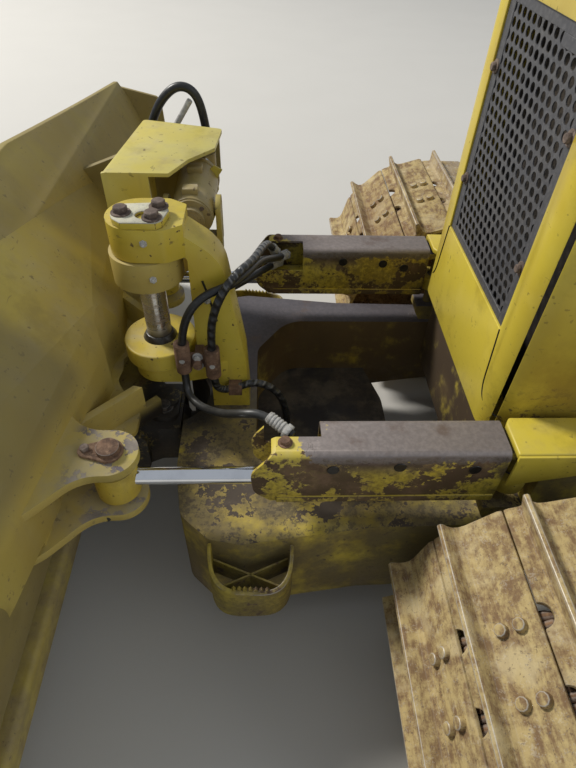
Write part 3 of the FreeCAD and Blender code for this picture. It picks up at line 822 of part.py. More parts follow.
def back_box(name, out=0):
    """The box's outer form, grown outwards by `out`."""
    sections = []
    for sign, folds in ((-1, FOLDS[:0:-1]), (1, FOLDS)):
        for across, upper, lower, wall in folds:
            rim = top_at(across) - 8 + out
            places = [(2700, rim), (top_back.x - 24 - out, rim), (upper[0] - out, upper[1] + out), (lower[0] - out, lower[1] + out), (wall - out, s.box_high + out),
                      (wall - out, s.box_low - out), (2700, s.box_low - out)]
            outline = doc.addObject("Part::Polygon", f"{name}_{len(sections)}")
            outline.Nodes = [Vector(x, sign * across, z) for x, z in places]
            outline.Close = True
            sections.append(outline)
    lofted = doc.addObject("Part::Loft", name)
    lofted.Sections = sections
    lofted.Solid = True
    lofted.Ruled = True
    return lofted


spine = back_box("spine")
foot_beam = pad("foot_beam", "XZ", [(2250, 215, 20), (2240, 330, 20), (2480, 330), (2480, 150)], "2 * (blade_half - 60)", 0)
parts = [spine, foot_beam]
for side, sign in (("left", 1), ("right", -1)):
    parts.append(pad(f"gusset_{side}", "XZ", [(2420, s.box_low + 5), (2085, s.box_low + 5), (2060, 640, 40), (1990, 545, 40), (1990, 400, 60), (2110, 290, 60), (2420, 230)],
                     "30", f"{sign} * 185"))
    strut = [(1926, 144), (1944, 126), (2190, 372), (2172, 390)]
    parts.append(pad(f"strut_{side}", "XY", [(u, sign * v) for u, v in (strut if sign > 0 else strut[::-1])], "165", 717))
    ear = [(2420, 285), (2200, 290, 120), (2075, s.angle_y - s.ear_radius, 120), (s.angle_pin_x - s.ear_radius, s.angle_y - s.ear_radius, s.ear_radius - 1),
           (s.angle_pin_x - s.ear_radius, s.angle_y + s.ear_radius, s.ear_radius - 1), (2060, s.angle_y + s.ear_radius, 120), (2190, 720, 160), (2420, 760)]
    for name, low in (("upper", "angle_z + ear_gap"), ("lower", "angle_z - ear_gap - ear_thick")):
        parts.append(pad(f"ear_{name}_{side}", "XY", [(u, sign * v, *rest) for u, v, *rest in (ear if sign > 0 else ear[::-1])], "ear_thick", f"{low} + ear_thick / 2"))
    parts.append(box(f"ear_web_{side}", (2165, 2420), (f"{sign} * angle_y - 150", f"{sign} * angle_y + 170"), ("angle_z - ear_gap - 5", "angle_z + ear_gap + 5")))
    parts.append(rod(f"pin_head_{side}", "pin_radius", "ear_thick + 24", ("angle_pin_x", f"{sign} * angle_y", "angle_z + ear_gap")))
    parts.append(rod(f"pin_foot_{side}", "pin_radius", "ear_thick + 6", ("angle_pin_x", f"{sign} * angle_y", "angle_z - ear_gap - ear_thick - 6")))
socket = pad("socket", "XY", [(s.swing_x - s.socket_radius, -s.socket_radius, s.socket_radius - 2), (s.swing_x + 40, -s.socket_radius, 30), (2080, -172, 30), (2420, -172), (2420, 172), (2080, 172, 30),
                              (s.swing_x + 40, s.socket_radius, 30), (s.swing_x - s.socket_radius, s.socket_radius, s.socket_radius - 2)], "socket_high - socket_low", "(socket_high + socket_low) / 2")
socket_cap = pad("socket_cap", "XY", [(s.swing_x - 30, -84, 30), (s.swing_x + 88, -84, 84), (s.swing_x + 88, 84, 60), (s.swing_x - 30, 84, 40)], "22", "socket_high + 10")
socket_boss = rod("socket_boss", "34", "16", ("swing_x + 10", 0, "socket_high + 18"))
pocket = pad("pocket", "XY", [(2150, -330), (1985, -300, 40), (1985, 300, 40), (2150, 330)], "20", "box_low - 8")
pocket_notch = rod("pocket_notch", "168", "60", ("swing_x", 0, "box_low - 40"))
parts += [socket, socket_cap, socket_boss, cut("pocket_cut", pocket, pocket_notch)]
tilt_wall = [(s.tilt_x - 60, s.tilt_z - 76), (s.tilt_x - 60, s.tilt_z + 76, 30), (s.tilt_x + 90, s.tilt_z + 76, 40), (2360, 1085), (2420, 880), (2110, 860, 60)]
parts.append(pad("tilt_wall", "XZ", tilt_wall, "30", -725))
for name, sign in (("upper", 1), ("lower", -1)):
    parts.append(pad(f"tilt_ear_{name}", "XY", [(s.tilt_x - 56, -735), (s.tilt_x - 56, s.tilt_eye_y + 54, 50), (s.tilt_x + 56, s.tilt_eye_y + 54, 50), (s.tilt_x + 90, -735)], "tilt_ear_thick",
                     f"tilt_z + {sign} * (tilt_ear_gap + tilt_ear_thick / 2)"))
parts.append(rod("tilt_pin_head", "24", "20", ("tilt_x", "tilt_eye_y", "tilt_z + tilt_ear_gap + tilt_ear_thick - 1")))
ball_room = ball("ball_room", "ball_radius + ball_fit", ("swing_x", 0, "ball_z"))
neck_room = box("neck_room", ("swing_x - 200", "swing_x - socket_cut"), ("-150", "150"), ("socket_low - 20", "socket_high + 60"))
eye_rooms = [rod(f"eye_room_{side}", "165", "2 * ear_gap", ("angle_pin_x", f"{sign} * angle_y", "angle_z - ear_gap"))
             for side, sign in (("left", 1), ("right", -1))]
swivel_room = rod("swivel_room", "190", "280", ("swing_x", 0, "box_low + 2"))
frame_tools = fuse("blade_tools", behind_face, ball_room, neck_room, swivel_room, *eye_rooms)
node("blade_frame", cut("blade_frame_solid", fuse("blade_frame_fused", *parts), frame_tools))

guard_z = s.guard_high - s.guard_sheet / 2
guard_top = pad("guard_top", "XY", [(2074, -235, 12), (1873, -235, 8), (1823, -342, 15), (1743, -439, 15), (1728, -612, 15), (1939, -670), (2018, -690, 12)],
                "guard_sheet", guard_z)
guard_side = pad("guard_side", "XZ", [(1937, s.guard_high - 1), (2074, s.guard_high - 1, 30), (2360, 1200), (2420, 900), (2060, 900), (1937, 1150, 60)],
                 "guard_sheet", "-241")
guard_front = pad("guard_front", "XY", [(2074, -236), (2020, -686), (2008, -684), (2062, -236)], "guard_high - 2 - box_high", "(guard_high - 2 + box_high) / 2")
guard_seat = back_box("guard_seat", 0.5)
node("tilt_guard", cut("tilt_guard_solid", cut("guard_seated", fuse("guard_fused", guard_top, guard_side, guard_front), ahead_of("guard_ahead", mould_back + s.seat_gap)), guard_seat))

doc.recompute()
failed = [obj.Label for obj in doc.Objects if "Invalid" in obj.State or "Error" in obj.State]
if failed:
    raise SystemExit("failed: " + ", ".join(failed))
os.makedirs("parts", exist_ok=True)
for label, obj in nodes.items():
    shape = obj.Shape
    if shape.isNull() or not shape.isValid() or not shape.Solids:
        raise SystemExit(label + " has no valid solid")
    shape.exportStep(f"parts/{label}.step")
    print(label, len(shape.Solids), "solids", round(shape.Volume / 1e6, 2), "litres")
print(len(nodes), "nodes")
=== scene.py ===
"""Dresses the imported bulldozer: worn yellow steel, rusty tracks, hoses and cab."""

import json
import math

import bmesh
import bpy
from bpy.props import FloatProperty, FloatVectorProperty, IntProperty, PointerProperty
from mathutils import Matrix, Vector


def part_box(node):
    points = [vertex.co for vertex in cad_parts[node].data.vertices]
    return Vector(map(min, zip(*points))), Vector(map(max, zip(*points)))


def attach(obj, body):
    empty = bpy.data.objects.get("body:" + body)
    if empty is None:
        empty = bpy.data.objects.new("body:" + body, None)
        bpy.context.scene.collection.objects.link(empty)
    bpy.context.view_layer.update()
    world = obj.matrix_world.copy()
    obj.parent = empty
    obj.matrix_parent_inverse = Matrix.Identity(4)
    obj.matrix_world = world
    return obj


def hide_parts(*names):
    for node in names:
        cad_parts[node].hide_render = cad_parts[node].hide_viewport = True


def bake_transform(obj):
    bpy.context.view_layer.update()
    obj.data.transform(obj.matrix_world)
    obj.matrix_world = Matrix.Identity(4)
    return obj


bl_info = {
    "name": "Bulldozer Dressing",
    "version": (1, 1, 0),
    "blender": (4, 5, 0),
    "location": "View3D > Sidebar > Dozer",
    "description": "Builds the visible pieces of a bulldozer around its packed frame",
    "category": "Object",
}

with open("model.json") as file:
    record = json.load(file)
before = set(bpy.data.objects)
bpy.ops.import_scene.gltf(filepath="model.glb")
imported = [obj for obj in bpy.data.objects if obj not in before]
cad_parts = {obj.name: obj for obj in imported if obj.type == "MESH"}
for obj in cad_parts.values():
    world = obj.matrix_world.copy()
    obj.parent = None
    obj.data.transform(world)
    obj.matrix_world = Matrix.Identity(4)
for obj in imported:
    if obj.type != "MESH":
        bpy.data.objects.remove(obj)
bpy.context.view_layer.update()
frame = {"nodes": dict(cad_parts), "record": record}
NODES = frame["nodes"]


# Shader maths

class Tap:
    """A socket of a material whose sums are written as plain expressions."""

    def __init__(self, finish, socket):
        self.finish = finish
        self.socket = socket

    def _sum(self, operation, *values):
        return self.finish.node("ShaderNodeMath", {"operation": operation}, *values)

    def __add__(self, other):
        return self._sum("ADD", self, other)

    __radd__ = __add__

    def __mul__(self, other):
        return self._sum("MULTIPLY", self, other)

    __rmul__ = __mul__

    def __sub__(self, other):
        return self._sum("SUBTRACT", self, other)

    def __rsub__(self, other):
        return self._sum("SUBTRACT", other, self)

    def highest(self, other):
        return self._sum("MAXIMUM", self, other)

    def size(self):
        return self._sum("ABSOLUTE", self)

    def wave(self):
        return self._sum("SINE", self)

    def above(self, low, high):
        """0 below `low`, 1 above `high`, smooth between."""
        settings = {"interpolation_type": "SMOOTHSTEP"}
        return self.finish.node("ShaderNodeMapRange", settings, self, low, high, 0.0, 1.0)

    def below(self, low, high):
        return 1 - self.above(low, high)

    def within(self, low, high, soft=0.02):
        return self.above(low - soft, low) * self.below(high, high + soft)


class Finish:
    """One material: layers of colour and gloss laid over each other."""

    def __init__(self, name, colour, rough, metal=0.0):
        self.material = bpy.data.materials.new(name)
        self.material.use_nodes = True
        self.tree = self.material.node_tree
        self.shader = self.tree.nodes["Principled BSDF"]
        self.place = self.node("ShaderNodeTexCoord", {}, out="Object")
        self.facing = self.node("ShaderNodeTexCoord", {}, out="Normal")
        self.colour, self.rough, self.metal = colour, rough, metal
        self.relief = None
        self.x, self.y, self.z = (self.part(self.place, axis) for axis in range(3))
        self.ahead, self.aside, self.up = (self.part(self.facing, axis) for axis in range(3))
        self.broad = self.noise(1.6, 3.0, 0.5)
        self.mottle = self.noise(9.0, 5.0, 0.6)
        self.fine = self.noise(70.0, 4.0, 0.65)
        self.speck = self.noise(240.0, 2.0, 0.5)
        self.wear = self.attribute("wear")

    def node(self, kind, settings, *values, out=0, **named):
        made = self.tree.nodes.new(kind)
        for key, value in settings.items():
            setattr(made, key, value)
        for key, value in list(enumerate(values)) + list(named.items()):
            target = made.inputs[key.replace("_", " ") if isinstance(key, str) else key]
            if isinstance(value, Tap):
                self.tree.links.new(value.socket, target)
            else:
                target.default_value = value
        return Tap(self, made.outputs[out])

    def noise(self, scale, detail=4.0, rough=0.55, stretch=None):
        place = self.place
        if stretch:
            place = self.node("ShaderNodeMapping", {}, Vector=place, Scale=stretch)
        return self.node("ShaderNodeTexNoise", {}, Vector=place, Scale=scale, Detail=detail, Roughness=rough)

    def part(self, vector, axis):
        return self.node("ShaderNodeSeparateXYZ", {}, vector, out=axis)

    def attribute(self, name):
        return self.node("ShaderNodeAttribute", {"attribute_name": name}, out=2)

    def blend(self, mask, first, second):
        """A colour that goes from `first` to `second` as the mask goes from 0 to 1."""
        made = self.tree.nodes.new("ShaderNodeMix")
        made.data_type = "RGBA"
        for index, value in ((0, mask), (6, first), (7, second)):
            if isinstance(value, Tap):
                self.tree.links.new(value.socket, made.inputs[index])
            else:
                made.inputs[index].default_value = value if index == 0 else (*value, 1)
        return Tap(self, made.outputs[2])

    def lay(self, mask, colour, rough=None, metal=None):
        """Covers what is there with a colour, and with its gloss where one is given."""
        self.colour = self.blend(mask, self.colour, colour)
        if rough is not None:
            self.rough = mask * (rough - self.rough) + self.rough
        if metal is not None:
            self.metal = mask * (metal - self.metal) + self.metal

    def raise_by(self, height, distance, strength=1.0):
        named = {"Strength": strength, "Distance": distance, "Height": height}
        if self.relief:
            named["Normal"] = self.relief
        self.relief = self.node("ShaderNodeBump", {}, **named)

    def done(self, **more):
        named = {"Base_Color": self.colour, "Roughness": self.rough, "Metallic": self.metal, **more}
        if self.relief:
            named["Normal"] = self.relief
        for key, value in named.items():
            target = self.shader.inputs[key.replace("_", " ")]
            if isinstance(value, Tap):
                self.tree.links.new(value.socket, target)
            else:
                target.default_value = (*value, 1) if isinstance(value, tuple) else value
        return self.material


RUST_DARK = (0.060, 0.032, 0.018)
RUST_RED = (0.19, 0.085, 0.036)
RUST_ORANGE = (0.38, 0.20, 0.075)
BROWN = (0.085, 0.050, 0.026)
MUD = (0.22, 0.17, 0.11)
DUST = (0.40, 0.35, 0.26)
GREASE = (0.016, 0.014, 0.013)
BARE = (0.205, 0.185, 0.180)


def paint(name, tone, shade, chips=0.4, dirt=0.3, edge=0.6, gloss=0.42):
    """Old paint: uneven tone with the shade colour laid in broad patches as painted shade, stains that run down, dust
    on top, and chips that gather in places.
    """
    f = Finish(name, tone, gloss)
    streak = f.noise(14.0, 4.0, 0.6, stretch=(1.0, 1.0, 0.16))
    # The shade colour is a shaded copy of the paint, laid in broad random patches: painted shade.
    f.lay(f.broad.above(0.36, 0.66), shade)
    f.lay(f.mottle.above(0.48, 0.80) * 0.30, tuple(min(1, c * 1.12 + 0.05) for c in tone))
    f.lay(streak.above(0.52, 0.78) * (0.5 * dirt + 0.04), (0.30, 0.20, 0.06))
    film = (f.up.above(0.3, 0.98) * 0.7 + 0.3) * (f.mottle * 0.55 + streak * 0.45).above(0.38, 0.74) * dirt
    f.lay(film, DUST, 0.85)
    smudge = f.noise(4.3, 6.0, 0.68)
    f.lay(smudge.above(0.50, 0.70) * (0.25 + 0.45 * dirt), tuple(c * 0.45 for c in shade))
    flakes(f, chips, edge)
    dots = f.noise(52.0, 2.0, 0.5).above(0.665, 0.70) * f.mottle.above(0.40, 0.60)
    nicks = f.noise(34.0, 3.0, 0.75, stretch=(1.0, 0.30, 1.5)).above(0.675, 0.69)
    f.lay((dots + nicks * 0.6) * min(1.0, 0.35 + chips), (0.10, 0.062, 0.028), 0.8)
    f.raise_by(f.speck, 0.0005, 0.25)
    return f


def flakes(f, chips, edge=0.6):
    """Paint chipped to rust, in gatherings and along worn edges."""
    gather = f.noise(2.7, 4.0, 0.6).above(0.44, 0.66)
    level = f.mottle * 0.46 + f.fine * 0.36 + f.speck * 0.18 + f.wear * (0.14 * edge) + gather * (0.085 * chips)
    line = 0.715 - 0.055 * chips
    f.lay(level.above(line - 0.035, line + 0.004) * 0.45, (0.36, 0.21, 0.06))
    chip = level.above(line, line + 0.010)
    rust = f.blend(f.fine.above(0.40, 0.62), RUST_DARK, RUST_RED)
    f.lay(chip, rust, 0.85)
    f.raise_by(1 - chip, 0.0014, 0.7)


def patches(f, where, amount, scale=6.5, colour=BROWN):
    """Large ragged places where the paint has gone down to brown steel."""
    shape = f.noise(scale, 7.0, 0.62) * 0.72 + f.fine * 0.20 + f.wear * 0.10
    line = 0.62 - 0.17 * amount
    bare = shape.above(line, line + 0.014) * where
    f.lay(shape.above(line - 0.03, line + 0.006) * where * 0.5, (0.40, 0.30, 0.10))
    tone = f.blend(f.mottle.above(0.42, 0.62), colour, tuple(c * 1.9 + 0.01 for c in colour))
    f.lay(bare, tone, 0.78)
    f.raise_by(1 - bare, 0.0016, 0.6)


def rubbed(f, where, amount=0.8, steel=BARE):
    """Upper faces walked and rubbed down to dark steel, with some paint left."""
    left = f.mottle * 0.45 + f.fine * 0.30 + f.broad * 0.25
    bare = left.above(0.62 - 0.30 * amount, 0.645 - 0.30 * amount) * where
    tone = f.blend(f.fine.above(0.35, 0.7) * 0.6, steel, tuple(c * 1.45 for c in steel))
    tone = f.blend(f.mottle.above(0.55, 0.72) * 0.8, tone, (0.15, 0.105, 0.085))
    f.lay(bare, tone, 0.55, 0.35)


def muddy(f, low, high, amount=0.8):
    """Dried mud that thins out upwards."""
    lump = f.noise(4.0, 6.0, 0.65) * 0.6 + f.mottle * 0.4
    caked = f.z.below(low, high) * lump.above(0.38, 0.60) * amount
    f.lay(caked, f.blend(f.fine.above(0.4, 0.7), MUD, (0.15, 0.115, 0.075)), 0.95)
    f.raise_by(lump * caked, 0.006, 0.6)


def panel_paint(name, tone, shade):
    """Hood and nose: nearly whole paint, scuffed low down, darkened low behind the nose front by a brown stain and
    painted shade, and spattered at the lower corners.
    """
    f = paint(name, tone, shade, 0.10, 0.16, 0.25, 0.33)
    scuff = f.noise(30.0, 5.0, 0.7, stretch=(0.5, 1.0, 1.6))
    f.lay(scuff.above(0.66, 0.70) * f.z.below(0.95, 1.30) * 0.8, (0.20, 0.15, 0.08), 0.8)
    # Darker orange-brown low on the panels behind the nose front: partly a brown stain, partly painted shade.
    stain_and_shade = f.z.below(1.00, 1.50) * f.x.below(0.86, 0.93) * (f.broad * 0.5 + f.mottle * 0.5).above(0.26, 0.56)
    f.lay(stain_and_shade * 0.70, (0.27, 0.165, 0.018), 0.7)
    splash = (scuff * 0.6 + f.fine * 0.4).above(0.53, 0.58)
    f.lay(splash * f.z.below(0.88, 1.06) * f.x.below(0.90, 0.94) * 0.9, (0.10, 0.065, 0.035), 0.9)
    return f.done()


def arm_paint(name, tone, shade):
    """C-frame: grime mixed with painted shadow, far-side tops rubbed to dark steel with painted shade, inner walls
    darkened brown as painted shade, a pan darkened with dirt and painted shade, and worn paint near the step.
    """
    f = paint(name, tone, shade, 0.95, 0.75, 1.0, 0.6)
    top = f.up.above(0.5, 0.9)
    # Dark brown patches over much of the frame: grime with painted shadow.
    grime_and_shadow = (f.noise(3.1, 6.0, 0.66) * 0.6 + f.mottle * 0.4).above(0.34, 0.52)
    f.lay(grime_and_shadow * 0.80, (0.115, 0.088, 0.052), 0.85)
    patches(f, top, 0.74, 6.0, (0.070, 0.052, 0.038))
    grains = (f.noise(70.0, 3.0, 0.7) * 0.6 + f.mottle * 0.4).above(0.50, 0.56)
    f.lay(grains * (top * 0.55 + 0.12), (0.085, 0.068, 0.048), 0.9)
    # Far-side tops laid a dark, bluish grey: worn steel with painted shade.
    rubbed(f, top * f.y.below(-0.10, 0.22), 0.95, (0.105, 0.095, 0.105))
    inside = f.y.size().below(0.432, 0.445) * f.x.below(1.60, 1.64)
    # Inner walls between the arms darkened to brown: painted shade.
    wall = inside * (1 - top)
    f.lay(wall * f.mottle.above(0.25, 0.5), f.blend(f.broad.above(0.4, 0.6), (0.055, 0.034, 0.016), (0.12, 0.075, 0.03)), 0.8)
    # Pan between the arms laid dark grey at nearly full strength: dirt with painted shade.
    pan = inside * f.z.below(0.312, 0.33) * top
    f.lay(pan * 0.96, f.blend(f.mottle.above(0.45, 0.65), (0.040, 0.037, 0.040), (0.11, 0.098, 0.085)), 0.75)
    soot = (f.x - 1.93).size().below(0.12, 0.30) * f.y.size().below(0.12, 0.24)
    f.lay(soot * f.mottle.above(0.3, 0.5) * 0.9, GREASE, 0.4)
    muddy(f, 0.18, 0.42, 0.75)
    return f.done()


def step_paint(name, tone, shade):
    """Boarding steps: brown and greasy paint with bare bright edges."""
    f = paint(name, tuple(c * 0.62 for c in tone), tuple(c * 0.55 for c in shade), 0.9, 0.6, 1.0, 0.6)
    patches(f, f.z.above(0.30, 0.34), 0.55, 9.0, (0.085, 0.055, 0.030))
    inward = (f.fine * 0.4 + f.mottle * 0.6).above(0.36, 0.56)
    f.lay(inward * 0.55, (0.060, 0.040, 0.020), 0.8)
    f.lay(f.wear * f.z.above(0.46, 0.49) * f.mottle.above(0.42, 0.58) * 0.8, (0.50, 0.47, 0.40), 0.4, 0.5)
    return f.done()


def cover_paint(name, tone, shade):
    """Cylinder covers: tops rubbed to purple-grey steel, sides with large brown patches."""
    f = paint(name, tone, shade, 0.8, 0.45, 1.0, 0.5)
    side = f.up.below(0.3, 0.7)
    patches(f, side, 0.80, 6.2)
    patches(f, side * f.z.above(0.83, 0.90), 0.95, 4.4, (0.075, 0.048, 0.038))
    patches(f, f.x.above(1.42, 1.46), 0.74, 13.0)
    ragged = f.x + (f.mottle - 0.5) * 0.35 + (f.fine - 0.5) * 0.20
    crown = (f.z + (f.fine - 0.5) * 0.05).above(0.890, 0.905) * ragged.below(1.455, 1.475)
    rubbed(f, crown, 1.0, (0.220, 0.190, 0.180))
    f.lay(side * (f.broad * 0.5 + f.fine * 0.5).above(0.40, 0.56) * 0.6, (0.085, 0.058, 0.020), 0.8)
    f.lay(f.x.below(0.93, 0.99) * side * f.mottle.above(0.35, 0.6) * 0.9, (0.045, 0.030, 0.018), 0.8)
    return f.done()


def blade_paint(name, tone, shade):
    """Back of the blade: a film of dust, big sheets darkened as painted shade, worn edges and a greasy pivot pocket."""
    f = paint(name, tone, shade, 0.42, 0.62, 0.9, 0.5)
    f.lay(0.30 + f.broad * 0.25, (0.34, 0.28, 0.125), 0.7)
    # The big back sheets darkened to a dull khaki: painted shade.
    sheet = f.y.size().above(0.20, 0.30) * f.z.above(0.86, 0.95)
    f.lay(sheet * (0.45 + f.broad * 0.35), (0.175, 0.145, 0.075), 0.75)
    ear = f.x.below(2.06, 2.12) * f.up.above(0.6, 0.9) * f.y.size().above(0.38, 0.42)
    patches(f, ear, 0.75, 16.0, (0.13, 0.11, 0.12))
    f.lay(ear * f.mottle.above(0.3, 0.6) * 0.6, (0.36, 0.31, 0.20), 0.75)
    pocket = f.x.below(2.02, 2.12) * f.y.size().below(0.20, 0.30) * f.z.below(0.66, 0.74)
    f.lay(pocket * (f.mottle * 0.5 + f.fine * 0.5).above(0.30, 0.46), (0.026, 0.022, 0.019), 0.45)
    patches(f, f.z.below(0.45, 0.75), 0.45, 4.0, (0.11, 0.07, 0.035))
    muddy(f, 0.20, 0.60, 0.8)
    return f.done()


def scoured(name, tone, shade):
    """Mouldboard: paint behind darkened all over as painted shade, and earth-scoured steel with sweeping scratches
    ahead.
    """
    f = paint(name, tone, shade, 0.8, 0.5, 1.0, 0.5)
    # Dark khaki laid over most of the mouldboard: painted shade.
    f.lay(0.55 + f.broad * 0.30, (0.19, 0.155, 0.078), 0.75)
    f.lay((f.mottle * 0.6 + f.broad * 0.4).above(0.44, 0.62) * 0.35, (0.32, 0.25, 0.10), 0.75)
    sweep = f.noise(11.0, 6.0, 0.65, stretch=(0.2, 1.4, 0.22))
    ahead = f.ahead.above(0.10, 0.35)
    steel = f.blend(sweep.above(0.40, 0.62), (0.15, 0.10, 0.065), (0.31, 0.27, 0.235))
    f.lay(ahead * (f.broad * 0.5 + f.mottle * 0.5 + 0.3 - f.z * 0.16).above(0.36, 0.46), steel, 0.42, 0.6)
    muddy(f, 0.10, 0.50, 0.5)
    return f.done()


def rusty(name, dark, mid, light, polish=0.35, dust=0.0):
    """Bare cast or rolled steel with rust in several tones and places rubbed bright."""
    f = Finish(name, dark, 0.84)
    grain = f.noise(17.0, 6.0, 0.65)
    f.lay(grain.above(0.36, 0.62), mid)
    f.lay((f.broad * 0.5 + f.fine * 0.5).above(0.47, 0.62), light)
    rub = (f.wear * 0.5 + f.mottle * 0.3 + f.fine * 0.3).above(0.50, 0.66) * polish
    f.lay(rub, (0.34, 0.32, 0.30), 0.42, 0.55)
    f.lay(f.speck.above(0.62, 0.70) * 0.6, tuple(c * 0.4 for c in dark))
    if dust:
        f.lay(f.up.above(0.4, 0.9) * grain.above(0.4, 0.6) * dust, DUST, 0.92)
    f.raise_by(grain * 0.7 + f.fine * 0.3, 0.003, 0.5)
    f.raise_by(f.speck, 0.0008, 0.5)
    return f.done()


def shoe_rust(name):
    """Track shoes: ochre rust on the front wrap, brown with pale scuffs on the top run, bright crests."""
    f = Finish(name, (0.19, 0.115, 0.055), 0.86)
    grain = f.noise(24.0, 6.0, 0.70)
    brush = f.noise(60.0, 4.0, 0.7, stretch=(1.0, 0.22, 1.0))
    f.lay((grain * 0.6 + brush * 0.4).above(0.40, 0.60), (0.46, 0.350, 0.155))
    f.lay(f.mottle.above(0.50, 0.66) * 0.7, (0.54, 0.440, 0.245))
    f.lay(f.broad.above(0.50, 0.68) * 0.5, (0.17, 0.085, 0.035))
    run = f.z.above(0.80, 0.90) * f.x.below(0.62, 0.80)
    f.lay(run * f.mottle.above(0.30, 0.55) * 0.80, (0.36, 0.290, 0.205))
    scuff = (f.noise(38.0, 6.0, 0.72) * 0.6 + f.speck * 0.4).above(0.545, 0.60)
    f.lay(scuff * (run * 0.85 + 0.22), (0.62, 0.58, 0.51), 0.6)
    pit = (f.fine * 0.5 + f.speck * 0.5).above(0.57, 0.63)
    f.lay(pit * 0.55, (0.075, 0.045, 0.028))
    crest = f.wear * (f.mottle * 0.5 + f.fine * 0.5).above(0.30, 0.50)
    f.lay(crest * 0.85, (0.56, 0.53, 0.48), 0.38, 0.6)
    f.raise_by(grain * 0.6 + f.fine * 0.4, 0.003, 0.55)
    f.raise_by(f.speck, 0.0009, 0.6)
    return f.done()


def dark_coat(name, tone, rough=0.45, dust=0.3):
    """Black or grey machine paint under a film of dust."""
    f = Finish(name, tone, rough)
    f.lay(f.fine.above(0.4, 0.7) * 0.5, tuple(min(1.0, c * 1.8 + 0.01) for c in tone))
    film = (f.up.above(0.2, 0.95) * 0.7 + 0.3) * (f.mottle * 0.6 + f.fine * 0.4).above(0.40, 0.70) * dust
    f.lay(film, DUST, 0.85)
    f.lay(f.wear * f.fine.above(0.4, 0.6) * 0.35, (0.30, 0.29, 0.28), 0.4)
    f.raise_by(f.fine, 0.0006, 0.3)
    return f.done()


def bright_rod(name):
    """Hard chrome with fine lengthwise rubbing and a thin oil film."""
    f = Finish(name, (0.86, 0.87, 0.90), 0.10, 1.0)
    line = f.noise(160.0, 2.0, 0.5, stretch=(0.06, 1.0, 1.0))
    f.lay(f.mottle.above(0.5, 0.75) * 0.35, (0.60, 0.61, 0.64), 0.22)
    f.raise_by(line, 0.0002, 0.2)
    return f.done()


def machined_pin(name):
    """A turned steel pin: bright, with brown grease stains towards its foot."""
    f = Finish(name, (0.58, 0.56, 0.51), 0.20, 0.9)
    haze = f.noise(16.0, 5.0, 0.65, stretch=(1.0, 1.0, 2.5))
    f.lay(haze.above(0.46, 0.66) * 0.6, (0.30, 0.20, 0.11), 0.45, 0.5)
    f.lay(f.z.below(0.885, 0.93) * 0.9, (0.035, 0.025, 0.018), 0.4, 0.1)
    f.lay(f.fine.above(0.6, 0.7) * 0.5, (0.12, 0.08, 0.05))
    f.raise_by(f.fine, 0.0004, 0.3)
    return f.done()


def hose_rubber(name, turns=0):
    """Black hose cover with dust on top, under a spiral guard where `turns` asks for one."""
    f = Finish(name, (0.017, 0.018, 0.020), 0.36)
    f.lay(f.up.above(0.1, 0.9) * f.mottle.above(0.35, 0.7) * 0.30, (0.17, 0.165, 0.15), 0.6)
    f.lay(f.fine.above(0.56, 0.66) * 0.4, (0.09, 0.085, 0.08), 0.6)
    if turns:
        along = f.node("ShaderNodeUVMap", {})
        lap = (f.part(along, 0) * (turns * math.tau) + f.part(along, 1) * math.tau).wave()
        f.lay(lap.above(0.55, 0.95) * f.up.above(-0.2, 0.7) * 0.30, (0.34, 0.34, 0.34), 0.3)
        f.raise_by(lap, 0.0022, 0.9)
    f.raise_by(f.noise(320.0, 3.0, 0.6), 0.0005, 0.5)
    return f.done()


def cab_glass(name):
    f = Finish(name, (0.050, 0.068, 0.070), 0.03)
    smear = f.noise(4.0, 4.0, 0.6)
    f.lay(smear.above(0.5, 0.8) * 0.35, (0.19, 0.20, 0.18), 0.15)
    return f.done(Alpha=0.55 + smear * 0.2)


def lamp_glass(name):
    f = Finish(name, (0.78, 0.80, 0.80), 0.12)
    ribs = (f.y * 520.0).wave()
    f.lay(f.mottle.above(0.5, 0.8) * 0.3, DUST, 0.5)
    f.raise_by(ribs, 0.0012, 0.7)
    return f.done()


def woven_seat(name):
    """Seat cloth with a fine over-and-under weave and dust in it."""
    f = Finish(name, (0.018, 0.018, 0.021), 0.92)
    warp = f.node("ShaderNodeTexWave", {"bands_direction": "Y"}, Vector=f.place, Scale=220.0, Distortion=0.6)
    weft = f.node("ShaderNodeTexWave", {"bands_direction": "Z"}, Vector=f.place, Scale=220.0, Distortion=0.6)
    weave = warp * 0.5 + weft * 0.5
    f.lay(weave.above(0.3, 0.7) * 0.6, (0.060, 0.060, 0.068))
    f.lay(f.mottle.above(0.5, 0.8) * 0.35, (0.15, 0.125, 0.095))
    f.raise_by(weave, 0.0012, 0.6)
    return f.done()


def floor_finish(name, tone):
    f = Finish(name, tone, 0.9)
    f.lay(f.broad.above(0.3, 0.7) * 0.4, tuple(c * 0.96 for c in tone))
    return f.done()


FINISHES = {}


def finish_of(name):
    return FINISHES[name]


# Modelling by hand, in steps

def rest_selection():
    if bpy.context.object and bpy.context.object.mode != "OBJECT":
        bpy.ops.object.mode_set(mode="OBJECT")
    bpy.ops.object.select_all(action="DESELECT")


def choose(*pieces):
    rest_selection()
    for piece in pieces:
        piece.select_set(True)
    bpy.context.view_layer.objects.active = pieces[-1]


def settled(name):
    """Names the active piece and puts its place into its mesh."""
    piece = bpy.context.object
    piece.name = piece.data.name = name
    bpy.ops.object.transform_apply(location=True, rotation=True, scale=True)
    return piece


def block(name, low, high):
    rest_selection()
    low, high = Vector(low), Vector(high)
    bpy.ops.mesh.primitive_cube_add(size=1, location=(low + high) / 2, scale=high - low)
    return settled(name)


